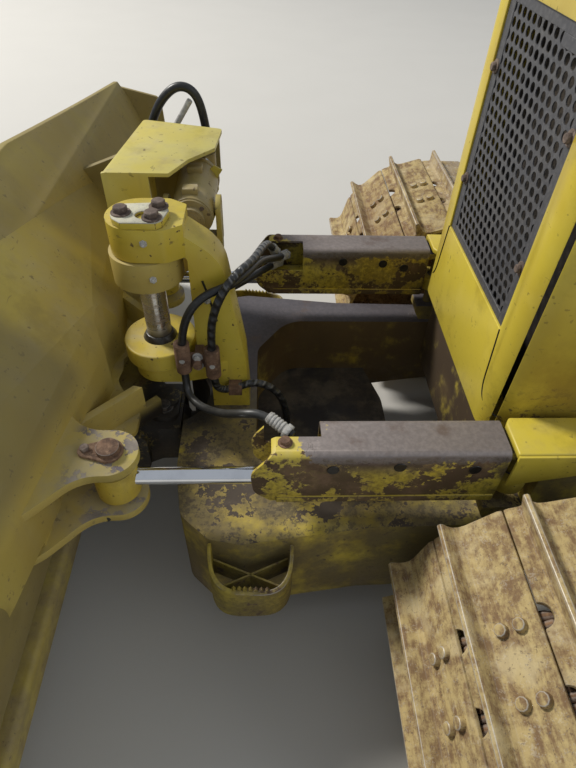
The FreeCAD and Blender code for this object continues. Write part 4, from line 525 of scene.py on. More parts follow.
def bar(name, radius, start, end, sides=24, top=None):
    """A round bar between two points, or a taper when `top` is given."""
    rest_selection()
    start, end = Vector(start), Vector(end)
    turn = (end - start).to_track_quat("Z", "Y").to_euler()
    where = dict(vertices=sides, depth=(end - start).length, location=(start + end) / 2, rotation=turn)
    if top is None:
        bpy.ops.mesh.primitive_cylinder_add(radius=radius, **where)
    else:
        bpy.ops.mesh.primitive_cone_add(radius1=radius, radius2=top, **where)
    return settled(name)


def dome(name, radius, place, height, sides=12):
    rest_selection()
    bpy.ops.mesh.primitive_uv_sphere_add(segments=sides, ring_count=6, radius=radius, location=place,
                                         scale=(1, 1, height / radius))
    return settled(name)


def plate(name, outline, plane, low, high):
    """A flat plate: a ring of points filled, moved to its outline and extruded to its thickness."""
    rest_selection()
    bpy.ops.mesh.primitive_circle_add(vertices=len(outline), radius=1, fill_type="NGON")
    piece = bpy.context.object
    order = {"XY": (0, 1, 2), "XZ": (0, 2, 1), "YZ": (1, 2, 0)}[plane]
    for vertex, (u, v) in zip(piece.data.vertices, outline):
        point = [0, 0, 0]
        for axis, value in zip(order, (u, v, low)):
            point[axis] = value
        vertex.co = point
    bpy.ops.object.mode_set(mode="EDIT")
    bpy.ops.mesh.select_all(action="SELECT")
    move = [0, 0, 0]
    move[order[2]] = high - low
    bpy.ops.mesh.extrude_region_move(TRANSFORM_OT_translate={"value": move})
    bpy.ops.mesh.select_all(action="SELECT")
    bpy.ops.mesh.normals_make_consistent(inside=False)
    bpy.ops.object.mode_set(mode="OBJECT")
    return settled(name)


def copied(piece, name):
    twin = piece.copy()
    twin.data = piece.data.copy()
    twin.name = twin.data.name = name
    bpy.context.scene.collection.objects.link(twin)
    return twin


def moved(piece, matrix):
    """Moves a piece's mesh, not its object."""
    piece.data.transform(matrix)
    if matrix.determinant() < 0:
        piece.data.flip_normals()
    piece.data.update()
    return piece


def joined(name, pieces):
    choose(*pieces)
    if len(pieces) > 1:
        bpy.ops.object.join()
    piece = bpy.context.object
    piece.name = piece.data.name = name
    return piece


def applied(piece, kind, **settings):
    choose(piece)
    modifier = piece.modifiers.new(kind.title(), kind)
    for key, value in settings.items():
        setattr(modifier, key, value)
    bpy.ops.object.modifier_apply(modifier=modifier.name)
    return piece


def bored(piece, *tools):
    """Cuts the tools' shapes out of a piece."""
    for tool in tools:
        applied(piece, "BOOLEAN", operation="DIFFERENCE", solver="EXACT", object=tool)
        bpy.data.objects.remove(tool)
    return piece


def trimmed(piece, place, normal):
    """Cuts off what lies beyond a plane and closes the cut."""
    choose(piece)
    bpy.ops.object.mode_set(mode="EDIT")
    bpy.ops.mesh.select_all(action="SELECT")
    bpy.ops.mesh.bisect(plane_co=place, plane_no=normal, clear_outer=True, use_fill=True)
    bpy.ops.object.mode_set(mode="OBJECT")
    return piece


def weighed(piece, angle, keep):
    """Marks the edges to round: the sharp ones, but for those whose middle passes the test `keep`."""
    mesh = bmesh.new()
    mesh.from_mesh(piece.data)
    layer = mesh.edges.layers.float.new("bevel_weight_edge")
    for edge in mesh.edges:
        sharp = len(edge.link_faces) == 2 and edge.calc_face_angle(0) > math.radians(angle)
        middle = (edge.verts[0].co + edge.verts[1].co) / 2
        edge[layer] = 1.0 if sharp and not keep(middle) else 0.0
    mesh.to_mesh(piece.data)
    mesh.free()


def edged(piece, width=0.003, segments=2, angle=30, smooth=35, keep=None):
    """Rounds a piece's edges, marks the middle of each rounded edge as worn, and smooths the faces."""
    if keep:
        weighed(piece, angle, keep)
    if not len(piece.data.materials):
        piece.data.materials.append(None)
    piece.data.materials.append(None)
    mark = len(piece.data.materials) - 1
    applied(piece, "BEVEL", width=width, segments=segments, limit_method="WEIGHT" if keep else "ANGLE",
            angle_limit=math.radians(angle), material=mark, use_clamp_overlap=True)
    mesh = piece.data
    touched = {}
    for face in mesh.polygons:
        for index in face.vertices:
            touched.setdefault(index, []).append(face.material_index == mark)
    wear = mesh.attributes.new("wear", "FLOAT", "POINT")
    for index, marks in touched.items():
        wear.data[index].value = 1.0 if all(marks) else 0.0
    for face in mesh.polygons:
        face.material_index = 0
    mesh.materials.clear()
    return smoothed(piece, smooth)


def smoothed(piece, angle=35):
    choose(piece)
    bpy.ops.object.shade_smooth_by_angle(angle=math.radians(angle))
    return piece


def dressed(piece, finish, body, stands_for=()):
    piece.data.materials.clear()
    piece.data.materials.append(finish_of(finish))
    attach(piece, body)
    if stands_for:
        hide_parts(*stands_for)
    return piece


def second(piece, finish, test):
    """Gives another finish to the faces whose middle passes the test."""
    piece.data.materials.append(finish_of(finish))
    for face in piece.data.polygons:
        if test(face.center):
            face.material_index = len(piece.data.materials) - 1
    return piece


def cleaned_copy(node, name):
    """A merged copy of a CAD piece that can be worked on."""
    piece = copied(NODES[node], name)
    piece.parent = None
    piece.matrix_world = Matrix.Identity(4)
    choose(piece)
    bpy.ops.object.mode_set(mode="EDIT")
    bpy.ops.mesh.select_all(action="SELECT")
    bpy.ops.mesh.remove_doubles(threshold=0.00002)
    bpy.ops.mesh.dissolve_limited(angle_limit=math.radians(0.6))
    bpy.ops.object.mode_set(mode="OBJECT")
    return piece


def softened(node, name, finish, width=0.004, segments=2, angle=28, keep=None):
    """A copy of a CAD piece with its edges rounded, worn and smoothed, that stands for it."""
    piece = cleaned_copy(node, name)
    edged(piece, width, segments, angle, keep=keep)
    return dressed(piece, finish, body_named(node), [node])


def body_named(node):
    for body, members in frame["record"]["behaviour"]["bodies"].items():
        if node in members:
            return body
    raise RuntimeError("no body holds " + node)


def painted(node, finish):
    """A CAD node that keeps its shape and gets its finish."""
    materials = NODES[node].data.materials
    if not len(materials):
        materials.append(None)
    for index in range(len(materials)):
        materials[index] = finish_of(finish)


def laid_out(place, axis):
    """A matrix that takes +Z to `axis` and the origin to `place`."""
    return Matrix.Translation(place) @ Vector(axis).to_track_quat("Z", "Y").to_matrix().to_4x4()


def hex_bolt(place, axis=(0, 0, 1), radius=0.017, height=0.013, washer=0.026):
    """A hexagon bolt head with its washer, standing on `place`."""
    parts = []
    if washer:
        parts.append(edged(bar("washer", washer, (0, 0, -0.001), (0, 0, 0.004), 20), 0.0008, 1))
    head = bar("head", radius, (0, 0, 0.003), (0, 0, 0.003 + height), 6)
    crown = bar("crown", radius * 0.93, (0, 0, 0.003 + height), (0, 0, 0.005 + height), 12, radius * 0.80)
    parts += [edged(head, 0.0010, 1), smoothed(crown)]
    return moved(joined("bolt", parts), laid_out(place, axis))


def strand(name, places, radius, kind="NURBS", sides=3):
    """A round bead, pipe or rail along places, made a mesh."""
    piece = line_of(name, places, radius, kind, sides)
    choose(piece)
    bpy.ops.object.convert(target="MESH")
    return smoothed(bpy.context.object, 60)


def line_of(name, places, radius, kind="NURBS", sides=6):
    rest_selection()
    bpy.ops.curve.primitive_nurbs_path_add()
    piece = bpy.context.object
    piece.name = piece.data.name = name
    line = piece.data
    line.splines.remove(line.splines[0])
    run = line.splines.new(kind)
    run.points.add(len(places) - 1)
    for point, place in zip(run.points, places):
        point.co = (*place, 1)
    if kind == "NURBS":
        run.order_u = 3
        run.use_endpoint_u = True
    run.resolution_u = 6
    run.use_smooth = True
    line.dimensions = "3D"
    line.bevel_depth = radius
    line.bevel_resolution = sides
    line.use_fill_caps = True
    return piece


def fastened(name, body, finish, places, axis=(0, 0, 1), **sizes):
    """Bolts of one kind on one body, as one piece."""
    bolts = [hex_bolt(place, axis, **sizes) for place in places]
    return dressed(joined(name, bolts), finish, body)


def mirrored_places(places):
    return [(x, -y, z) for x, y, z in places]


# Settings

class DozerStage(bpy.types.PropertyGroup):
    floor_colour: FloatVectorProperty(name="Floor", description="Colour of the pale floor", size=3,
                                      default=(0.60, 0.585, 0.55), min=0, max=1, subtype="COLOR")
    floor_size: FloatProperty(name="Floor size", description="Side of the square floor", default=80, unit="LENGTH")
    sky_strength: FloatProperty(name="Sky", description="Strength of the even light", default=0.40, min=0)
    key_energy: FloatProperty(name="Key light", description="Power of the key light", default=4400, min=0, unit="POWER")


class DozerPaint(bpy.types.PropertyGroup):
    yellow: FloatVectorProperty(name="Paint", description="Main paint colour", size=3, default=(0.60, 0.478, 0.055),
                                min=0, max=1, subtype="COLOR")
    # shade: a shaded copy of the paint, which paint() lays in broad patches as painted shade.
    shade: FloatVectorProperty(name="Shade", description="Deeper tone of the paint", size=3,
                               default=(0.50, 0.350, 0.030), min=0, max=1, subtype="COLOR")


class DozerTracks(bpy.types.PropertyGroup):
    shoes: IntProperty(name="Shoes", description="Shoes in each track", default=38, min=12)
    gauge: FloatProperty(name="Gauge", description="Distance between the track centres", default=2.06, unit="LENGTH")
    width: FloatProperty(name="Shoe width", description="Width of a shoe", default=0.71, unit="LENGTH")
    grouser: FloatProperty(name="Grouser", description="Height of a grouser", default=0.055, unit="LENGTH")


class DOZER_OT_finishes(bpy.types.Operator):
    """Mixes every finish that the pieces use"""

    bl_idname = "dozer.finishes"
    bl_label = "Mix Finishes"

    def execute(self, context):
        settings = context.scene.dozer_paint
        tone, shade = tuple(settings.yellow), tuple(settings.shade)
        FINISHES.update({
            "yellow": paint("yellow_paint", tone, shade, 0.20, 0.25, 0.5).done(),
            "tower": paint("tower_paint", tone, shade, 0.62, 0.35, 1.3, 0.36).done(),
            "yellow_worn": paint("yellow_paint_worn", tone, shade, 0.8, 0.6, 1.0).done(),
            "guard": paint("guard_paint", (0.60, 0.53, 0.165), tone, 0.30, 0.40, 0.9).done(),
            "panel": panel_paint("panel_paint", tuple(c * 1.14 for c in tone), shade),
            "arm": arm_paint("arm_paint", tone, shade),
            "cover": cover_paint("cover_paint", tone, shade),
            "step": step_paint("step_paint", tone, shade),
            "blade": blade_paint("blade_paint", tone, shade),
            "mould": scoured("scoured_blade", tone, shade),
            "track": rusty("track_rust", (0.10, 0.055, 0.032), (0.25, 0.145, 0.075), (0.38, 0.25, 0.14)),
            "shoe": shoe_rust("shoe_rust"),
            "iron": rusty("dark_iron", (0.030, 0.027, 0.025), (0.060, 0.050, 0.042), (0.11, 0.09, 0.07)),
            "clamp": rusty("clamp_rust", (0.09, 0.050, 0.032), (0.20, 0.115, 0.070), (0.30, 0.19, 0.12)),
            "bolt": rusty("bolt_rust", (0.085, 0.060, 0.050), (0.17, 0.125, 0.10), (0.27, 0.21, 0.17), 0.5),
            "zinc": rusty("zinc_fitting", (0.30, 0.29, 0.27), (0.46, 0.45, 0.43), (0.62, 0.61, 0.58), 0.9),
            "barrel": paint("barrel_paint", (0.34, 0.265, 0.085), (0.20, 0.150, 0.090), 0.55, 0.7, 1.0).done(),
            "edge_steel": rusty("edge_steel", (0.12, 0.11, 0.10), (0.22, 0.20, 0.18), (0.36, 0.34, 0.32), 0.9),
            # Pale finish for the cap's top: partly its own pale colour, partly a painted reflection.
            "pale": rusty("pale_cap_and_painted_glare", (0.42, 0.40, 0.33), (0.56, 0.54, 0.42), (0.60, 0.56, 0.36), 0.4),
            "black": dark_coat("black_coat", (0.012, 0.012, 0.013)),
            "grille": dark_coat("grille_coat", (0.060, 0.061, 0.070), 0.5, 0.25),
            "grey": dark_coat("grey_coat", (0.07, 0.07, 0.072), 0.5),
            "greasy": dark_coat("greasy_black", (0.010, 0.009, 0.008), 0.32, 0.15),
            "seal": dark_coat("rubber_seal", (0.013, 0.013, 0.014), 0.7, 0.3),
            "chrome": bright_rod("chrome_rod"),
            "pin": machined_pin("machined_pin"),
            "hose": hose_rubber("hose_rubber"),
            "wrapped": hose_rubber("wrapped_hose", 46),
            "glass": cab_glass("cab_glass_tint"),
            "lens": lamp_glass("lamp_lens"),
            "fabric": woven_seat("seat_weave"),
        })
        return {"FINISHED"}


class DOZER_OT_stage(bpy.types.Operator):
    """Sets the floor, the light and the camera"""

    bl_idname = "dozer.stage"
    bl_label = "Set Stage"

    def execute(self, context):
        stage = context.scene.dozer_stage
        rest_selection()
        bpy.ops.mesh.primitive_plane_add(size=stage.floor_size, location=(0, 0, -0.002))
        floor = settled("floor")
        floor.data.materials.append(floor_finish("floor_finish", tuple(stage.floor_colour)))
        world = bpy.data.worlds.new("studio")
        context.scene.world = world
        world.use_nodes = True
        sky = world.node_tree.nodes["Background"]
        sky.inputs[0].default_value = (0.86, 0.92, 1.0, 1)
        sky.inputs[1].default_value = stage.sky_strength
        for name, place, size, energy, tint in (
                ("key", (14.8, -8.8, 14.8), 3.4, stage.key_energy, (1.0, 0.965, 0.90)),
                ("fill", (-6.0, 5.0, 5.5), 6.0, stage.key_energy * 0.038, (0.92, 0.96, 1.0))):
            rest_selection()
            bpy.ops.object.light_add(type="AREA", location=place)
            lamp = context.object
            lamp.name = name
            lamp.data.size = size
            lamp.data.energy = energy
            lamp.data.color = tint
            lamp.rotation_euler = (Vector((0.9, 0, 0.8)) - Vector(place)).to_track_quat("-Z", "Y").to_euler()
        rest_selection()
        bpy.ops.object.camera_add(location=(1.575, 1.421, 2.042))
        camera = context.object
        camera.name = "photo_view"
        camera.data.lens = 36 * 543.21 / 768
        camera.data.sensor_width = 36
        pitch, yaw, roll = (math.radians(a) for a in (44.77, -3.42, -2.37))
        look = Vector((math.sin(yaw) * math.cos(pitch), -math.cos(yaw) * math.cos(pitch), -math.sin(pitch)))
        side = Vector((-math.cos(yaw), -math.sin(yaw), 0))
        down = look.cross(side)
        right = math.cos(roll) * side + math.sin(roll) * down
        up = -(-math.sin(roll) * side + math.cos(roll) * down)
        camera.rotation_euler = Matrix((right, up, -look)).transposed().to_euler()
        camera.data.clip_start = 0.05
        camera.data.clip_end = 200
        context.scene.camera = camera
        context.scene.view_settings.view_transform = "Standard"
        return {"FINISHED"}


ROUTES = {
    "hose_cross": ((1500, -462, 889), (1520, -400, 918), (1550, -300, 974), (1592, -150, 1060), (1628, 0, 1110),
                   (1676, 86, 1120), (1752, 102, 1100), (1808, 116, 1042), (1838, 116, 930), (1838, 116, 850)),
    "hose_near": ((1838, 116, 850), (1838, 116, 775), (1832, 150, 728), (1780, 215, 735), (1700, 320, 820),
                  (1640, 385, 895), (1574, 402, 912), (1498, 461, 888)),
    "hose_wrapped": ((1538, -452, 918), (1554, -400, 968), (1566, -300, 1036), (1586, -150, 1106), (1612, 0, 1150),
                     (1654, 88, 1166), (1700, 122, 1120), (1736, 118, 1020), (1744, 116, 920), (1744, 116, 760),
                     (1735, 100, 705), (1690, 86, 690), (1600, 74, 722), (1515, 60, 640), (1488, 48, 480),
                     (1485, 45, 340)),
    "hose_rear": ((1743, -80, 1006), (1736, -88, 972), (1704, -136, 950), (1640, -230, 930), (1575, -370, 885),
                  (1530, -452, 860)),
}


def fitting(start, end, hexagon=0.022):
    """A crimped hose end: a ringed sleeve and a hexagon nut."""
    start, end = Vector(start), Vector(end)
    along = (end - start).normalized()
    length = (end - start).length
    parts = [bar("sleeve", 0.0165, (0, 0, 0), (0, 0, length), 20)]
    for i in range(5):
        low = length * (0.08 + 0.15 * i)
        parts.append(bar("ring", 0.0185, (0, 0, low), (0, 0, low + length * 0.09), 20))
    parts.append(bar("nut", hexagon, (0, 0, length * 0.86), (0, 0, length * 1.12), 6))
    piece = edged(joined("fitting", parts), 0.0012, 1)
    return moved(piece, laid_out(start, along))


class DOZER_OT_hoses(bpy.types.Operator):
    """Lays the hydraulic hoses along their routes, with sleeves, nuts and clamps"""

    bl_idname = "dozer.hoses"
    bl_label = "Lay Hoses"

    def execute(self, context):
        for name, length, finish, nodes, link, link_y, frame_y in (
                ("hose_cross", 0.974, "hose", ["hose_cross"], "angle_link_right", -0.42, -0.02),
                ("hose_near", 0.640, "hose", [], "angle_link_left", 0.40, 0.15),
                ("hose_wrapped", 1.650, "wrapped", ["hose_wrapped"], "angle_link_right", -0.42, -0.02),
                ("hose_rear", 0.465, "hose", ["hose_rear"], "angle_link_right", -0.42, -0.12)):
            route = [tuple(value / 1000 for value in place) for place in ROUTES[name]]
            line = line_of(name + "_line", route, 0.0)
            mesh = bpy.data.meshes.new_from_object(line)
            bpy.data.meshes.remove(mesh)
            line.data.bevel_depth = 0.013
            choose(line)
            bpy.ops.object.convert(target="MESH")
            hose = smoothed(bpy.context.object, 60)
            hose.data.materials.clear()
            hose.data.materials.append(finish_of(finish))
            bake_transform(hose)
            if nodes:
                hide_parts(*nodes)
        for name, body, ends in (
                ("hose_ends_left", "angle_link_left", [((1.566, 0.409, 0.909), (1.512, 0.450, 0.892))]),
                ("hose_ends_right", "angle_link_right", [((1.512, -0.425, 0.906), (1.492, -0.482, 0.880)),
                                                         ((1.546, -0.428, 0.944), (1.534, -0.470, 0.902)),
                                                         ((1.552, -0.414, 0.872), (1.520, -0.472, 0.853))]),
                ("hose_ends_frame", "c_frame", [((1.4851, 0.0452, 0.415), (1.485, 0.045, 0.368)),
                                                ((1.7365, -0.0875, 0.976), (1.743, -0.080, 1.002))])):
            dressed(joined(name, [fitting(*end) for end in ends]), "zinc", body)
        clamps = softened("hose_clamps", "hose_clamp_bands", "clamp", 0.0025, 2)
        second(clamps, "black", lambda middle: middle.z < 0.42)
        bolts = [hex_bolt((x, 0.109, z), (0, 1, 0), 0.012, 0.010, 0.017) for x, z in ((1.792, 0.862), (1.792, 0.826))]
        bolts += [hex_bolt((x, 0.1295, z), (0, 1, 0), 0.010, 0.007, 0) for x, z in ((1.838, 0.868), (1.744, 0.846))]
        dressed(joined("clamp_bolts", bolts), "zinc", "c_frame")
        return {"FINISHED"}


class DOZER_OT_bodywork(bpy.types.Operator):
    """Rounds and paints the welded and folded steel of the machine"""

    bl_idname = "dozer.bodywork"
    bl_label = "Paint Bodywork"

    def execute(self, context):
        for node, finish, width in (
                ("c_frame", "arm", 0.007),
                ("blade_frame", "blade", 0.005), ("mouldboard", "mould", 0.003), 
                ("blade_swivel", "blade", 0.006), ("cab_frame", "yellow", 0.006), ("cab_roof", "yellow", 0.012),
                ("fender_left", "yellow_worn", 0.003), ("fender_right", "yellow_worn", 0.003),
                ("fuel_tank", "yellow", 0.01), ("main_frame", "arm", 0.005), ("drawbar", "yellow_worn", 0.005),
                ("track_frame_left", "arm", 0.005), ("track_frame_right", "arm", 0.005),
                ("cab_door_left", "yellow", 0.004), ("cab_door_right", "yellow", 0.004),
                ("tilt_barrel", "barrel", 0.003), ("cutting_edge", "edge_steel", 0.004),
                ("lift_barrel_left", "yellow", 0.003), ("lift_barrel_right", "yellow", 0.003),
                ("angle_barrel_left", "yellow_worn", 0.002), ("angle_barrel_right", "yellow_worn", 0.002)):
            softened(node, node + "_steel", finish, width)
        guard = cleaned_copy("tilt_guard", "tilt_guard_steel")
        bored(guard, block("fin_room", (2.080, -0.30, 0.80), (2.60, -0.20, 1.40)))
        dressed(edged(guard, 0.004), "guard", "blade", ["tilt_guard"])
        for node in ("nose", "hood"):
            softened(node, node + "_steel", "panel", 0.004, keep=lambda middle: abs(middle.x - 0.64) < 0.002)
        return {"FINISHED"}


def along_track(travel, radius, loop=0.42, height=0.475, front=0.745, rear=-1.905):
    """Place, travel direction and outward direction at a distance along the track's loop."""
    span = front - rear
    arc = math.pi * loop
    travel = travel % (2 * span + 2 * arc)
    if travel < span:
        return Vector((rear + travel, 0, height + radius)), Vector((1, 0, 0)), Vector((0, 0, 1))
    if span + arc <= travel < 2 * span + arc:
        return Vector((front - (travel - span - arc), 0, height - radius)), Vector((-1, 0, 0)), Vector((0, 0, -1))
    middle, turn = (front, math.pi / 2 - (travel - span) / loop) if travel < span + arc else (
        rear, -math.pi / 2 - (travel - 2 * span - arc) / loop)
    outward = Vector((math.cos(turn), 0, math.sin(turn)))
    return Vector((middle, 0, height)) + outward * radius, Vector((math.sin(turn), 0, -math.cos(turn))), outward


def stood_on(place, forward, outward, across):
    turn = Matrix((forward, (0, 1, 0), outward)).transposed().to_4x4()
    return Matrix.Translation((place.x, across, place.z)) @ turn


class DOZER_OT_tracks(bpy.types.Operator):
    """Models one track shoe and one link, and lays them round both loops"""

    bl_idname = "dozer.tracks"
    bl_label = "Lay Tracks"

    def shoe(self, wide, grouser):
        half = wide / 2
        crest = grouser
        outline = [(-0.151, -0.016), (0.054, -0.016), (0.054, -0.004), (0.040, 0.0), (0.016, 0.001), (0.010, 0.006),
                   (0.008, crest - 0.004), (0.005, crest), (-0.005, crest), (-0.009, crest - 0.006), (-0.012, 0.030),
                   (-0.018, 0.014), (-0.030, 0.004), (-0.048, 0.0), (-0.140, 0.0), (-0.151, -0.005)]
        blank = plate("shoe", outline, "XZ", -half, half)
        notches = [bar("notch", 0.029, (0.056, y, -0.05), (0.056, y, 0.05), 24) for y in (-0.085, 0.085)]
        bored(blank, *notches)
        edged(blank, 0.0022, 2, 25, 40)
        for vertex, mark in zip(blank.data.vertices, blank.data.attributes["wear"].data):
            mark.value *= 1.0 if vertex.co.z > grouser - 0.010 else 0.15
        bolts = [bar("head", 0.0175, (u, y, -0.004), (u, y, 0.016), 10, 0.0150) for u in (-0.062, -0.108) for y in (-0.075, 0.075)]
        for bolt in bolts:
            edged(bolt, 0.003, 2, 40, 50)
        return joined("shoe", [blank, *bolts])

    def link(self):
        parts = []
        for sign in (-1, 1):
            plan = [(-0.046, 0.062), (0.070, 0.062), (0.115, 0.083), (0.255, 0.083), (0.255, 0.104), (0.100, 0.104),
                    (0.055, 0.082), (-0.046, 0.082)]
            rail = plate("rail", [(u, v * sign) for u, v in plan], "XY", -0.046, 0.046)
            parts.append(edged(rail, 0.016, 3, 30, 50))
        parts.append(smoothed(bar("pin", 0.024, (0, -0.112, 0), (0, 0.112, 0), 16)))
        parts.append(smoothed(bar("bush", 0.040, (0, -0.062, 0.004), (0, 0.062, 0.004), 20)))
        return joined("link", parts)

    def execute(self, context):
        sizes = context.scene.dozer_tracks
        pitch = (2 * 2.65 + 2 * math.pi * 0.42) / sizes.shoes
        shoe, link = self.shoe(sizes.width, sizes.grouser), self.link()
        for side, across in (("left", sizes.gauge / 2), ("right", -sizes.gauge / 2)):
            shoes, links = [], []
            for i in range(sizes.shoes):
                middle = (i + 0.5) * pitch
                place, forward, outward = along_track(middle - 0.047, 0.42)
                where = stood_on(place, forward, outward, across) @ Matrix.Translation((0.047, 0, 0))
                shoes.append(moved(copied(shoe, "shoe_copy"), where))
                start = along_track(middle + 0.057, 0.3575)[0]
                end = along_track(middle + 0.057 + pitch, 0.3575)[0]
                run = end - start
                flat = run.normalized()
                stretch = Matrix.Scale(run.length / 0.2089, 4, (1, 0, 0))
                where = stood_on(start, flat, flat.cross(Vector((0, 1, 0))), across) @ stretch
                links.append(moved(copied(link, "link_copy"), where))
            belt = joined(f"track_shoes_{side}", shoes)
            for vertex in belt.data.vertices:
                vertex.co.z = max(vertex.co.z, 0.0)
            dressed(belt, "shoe", "chassis", [f"track_{side}"])
            chain = joined(f"track_links_{side}", links)
            dressed(chain, "track", "chassis")
        for master in (shoe, link):
            bpy.data.objects.remove(master)
        return {"FINISHED"}


class DOZER_OT_grille(bpy.types.Operator):
    """Punches the nose's sheet grille from six-sided cells with round holes"""

    bl_idname = "dozer.grille"
    bl_label = "Punch Grille"

    def execute(self, context):
        low, high = (Vector(corner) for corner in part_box("grille"))
        pitch, back, front = 0.035, low.x, high.x - 0.004
        rise = pitch * math.sqrt(3) / 2
        rest_selection()
        sheet = bmesh.new()
        rows = int((high.z - low.z - 0.040) / rise)
        columns = int((high.y - low.y - 0.030) / pitch)
        floor = (low.z + high.z) / 2 - (rows - 1) * rise / 2
        for row in range(rows):
            for column in range(columns - row % 2):
                y = ((column + 0.5 * (row % 2)) - (columns - 1) / 2) * pitch
                z = floor + row * rise
                if y > 0.080 and z > 1.757:
                    continue
                rim, hole = [], []
                for step in range(12):
                    turn = math.radians(30 * step)
                    reach = pitch / 2 if step % 2 == 0 else pitch / math.sqrt(3)
                    rim.append(sheet.verts.new((front, y + reach * math.cos(turn), z + reach * math.sin(turn))))
                    hole.append(sheet.verts.new((front, y + 0.0125 * math.cos(turn), z + 0.0125 * math.sin(turn))))
                for step in range(12):
                    after = (step + 1) % 12
                    sheet.faces.new((rim[step], rim[after], hole[after], hole[step]))
        bmesh.ops.remove_doubles(sheet, verts=sheet.verts, dist=0.0005)
        bpy.ops.mesh.primitive_plane_add()
        mesh = settled("sheet")
        sheet.to_mesh(mesh.data)
        sheet.free()
        choose(mesh)
        bpy.ops.object.mode_set(mode="EDIT")
        bpy.ops.mesh.select_all(action="SELECT")
        bpy.ops.mesh.extrude_region_move(TRANSFORM_OT_translate={"value": (back + 0.005 - front, 0, 0)})
        bpy.ops.mesh.select_all(action="SELECT")
        bpy.ops.mesh.normals_make_consistent(inside=False)
        bpy.ops.object.mode_set(mode="OBJECT")
        side = (high.y - low.y - columns * pitch) / 2 + pitch / 2 + 0.002
        foot = floor - pitch * 0.30 - low.z
        strips = [((low.y, low.z), (low.y + side, high.z)), ((high.y - side, low.z), (high.y, high.z)),
                  ((low.y + side, low.z), (high.y - side, low.z + foot)), ((low.y + side, high.z - foot), (high.y - side, high.z)),
                  ((0.072, 1.748), (high.y - side, high.z - foot))]
        parts = [mesh]
        for start, end in strips:
            parts.append(edged(block("strip", (back + 0.003, *start), (front + 0.0015, *end)), 0.001, 1))
        dressed(joined("grille_sheet", parts), "grille", "chassis", ["grille"])
        bolts = [(front + 0.001, y, z) for y in (-0.262, 0.262) for z in (1.30, 1.62)]
        fastened("grille_bolts", "chassis", "bolt", bolts, (1, 0, 0), radius=0.012, height=0.010, washer=0.019)
        return {"FINISHED"}


class DOZER_OT_tower(bpy.types.Operator):
    """Tower with its cap plate, bolts, grease nipples and swing pin"""

    bl_idname = "dozer.tower"
    bl_label = "Build Tower"

    def execute(self, context):
        tower = trimmed(cleaned_copy("tower", "tower_steel"), (0, 0, 1.3001), (0, 0, 1))
        edged(tower, 0.009, 3, 28)
        dressed(tower, "tower", "c_frame", ["tower"])
        outline = [(1.985, 0.068), (1.993, 0.050), (1.982, 0.000), (1.966, -0.018), (1.884, -0.026), (1.862, -0.018),
                   (1.842, 0.004), (1.838, 0.020), (1.850, 0.078), (1.866, 0.092), (1.960, 0.092)]
        cap = plate("cap", outline, "XY", 1.300, 1.322)
        bored(cap, bar("recess", 0.021, (1.905, 0.046, 1.312), (1.905, 0.046, 1.34), 24))
        # The cap's top is pale, partly a painted reflection; its sides take the tower paint.
        dressed(edged(cap, 0.003, 2), "pale", "c_frame")
        second(cap, "tower", lambda middle: middle.z < 1.3195)
        fastened("cap_bolts", "c_frame", "bolt", [(1.965, 0.038, 1.322), (1.868, 0.000, 1.322), (1.878, 0.064, 1.322)],
                 radius=0.0205, height=0.015, washer=0.0275)
        nipples = []
        for place, axis in (((1.905, 0.094, 1.262), (0, 1, 0)), ((1.894, 0.100, 1.150), (-0.3, 1, 0)),
                            ((1.750, 0.060, 1.05), (0, 1, 0))):
            stem = bar("stem", 0.006, (0, 0, -0.004), (0, 0, 0.012), 12)
            collar = bar("collar", 0.011, (0, 0, -0.002), (0, 0, 0.005), 6)
            nipples.append(moved(joined("nipple", [stem, collar, dome("tip", 0.005, (0, 0, 0.013), 0.005)]), laid_out(place, axis)))
        dressed(joined("grease_nipples", nipples), "zinc", "c_frame")
        pin = cleaned_copy("swing_pin", "swing_pin_steel")
        edged(pin, 0.004, 2)
        dressed(pin, "yellow_worn", "c_frame", ["swing_pin"])
        second(pin, "pin", lambda middle: (middle.xy - Vector((1.925, 0))).length < 0.056 and middle.z > 0.8652)
        ring = bar("foot_ring", 0.056, (1.925, 0, 0.864), (1.925, 0, 0.884), 32, 0.044)
        dressed(edged(ring, 0.002, 2), "greasy", "c_frame")
        slit = strand("tower_slit", [(1.760, 0.0598, 1.12), (1.742, 0.0598, 1.05), (1.726, 0.0598, 0.97)], 0.0035)
        dressed(slit, "greasy", "c_frame")
        return {"FINISHED"}


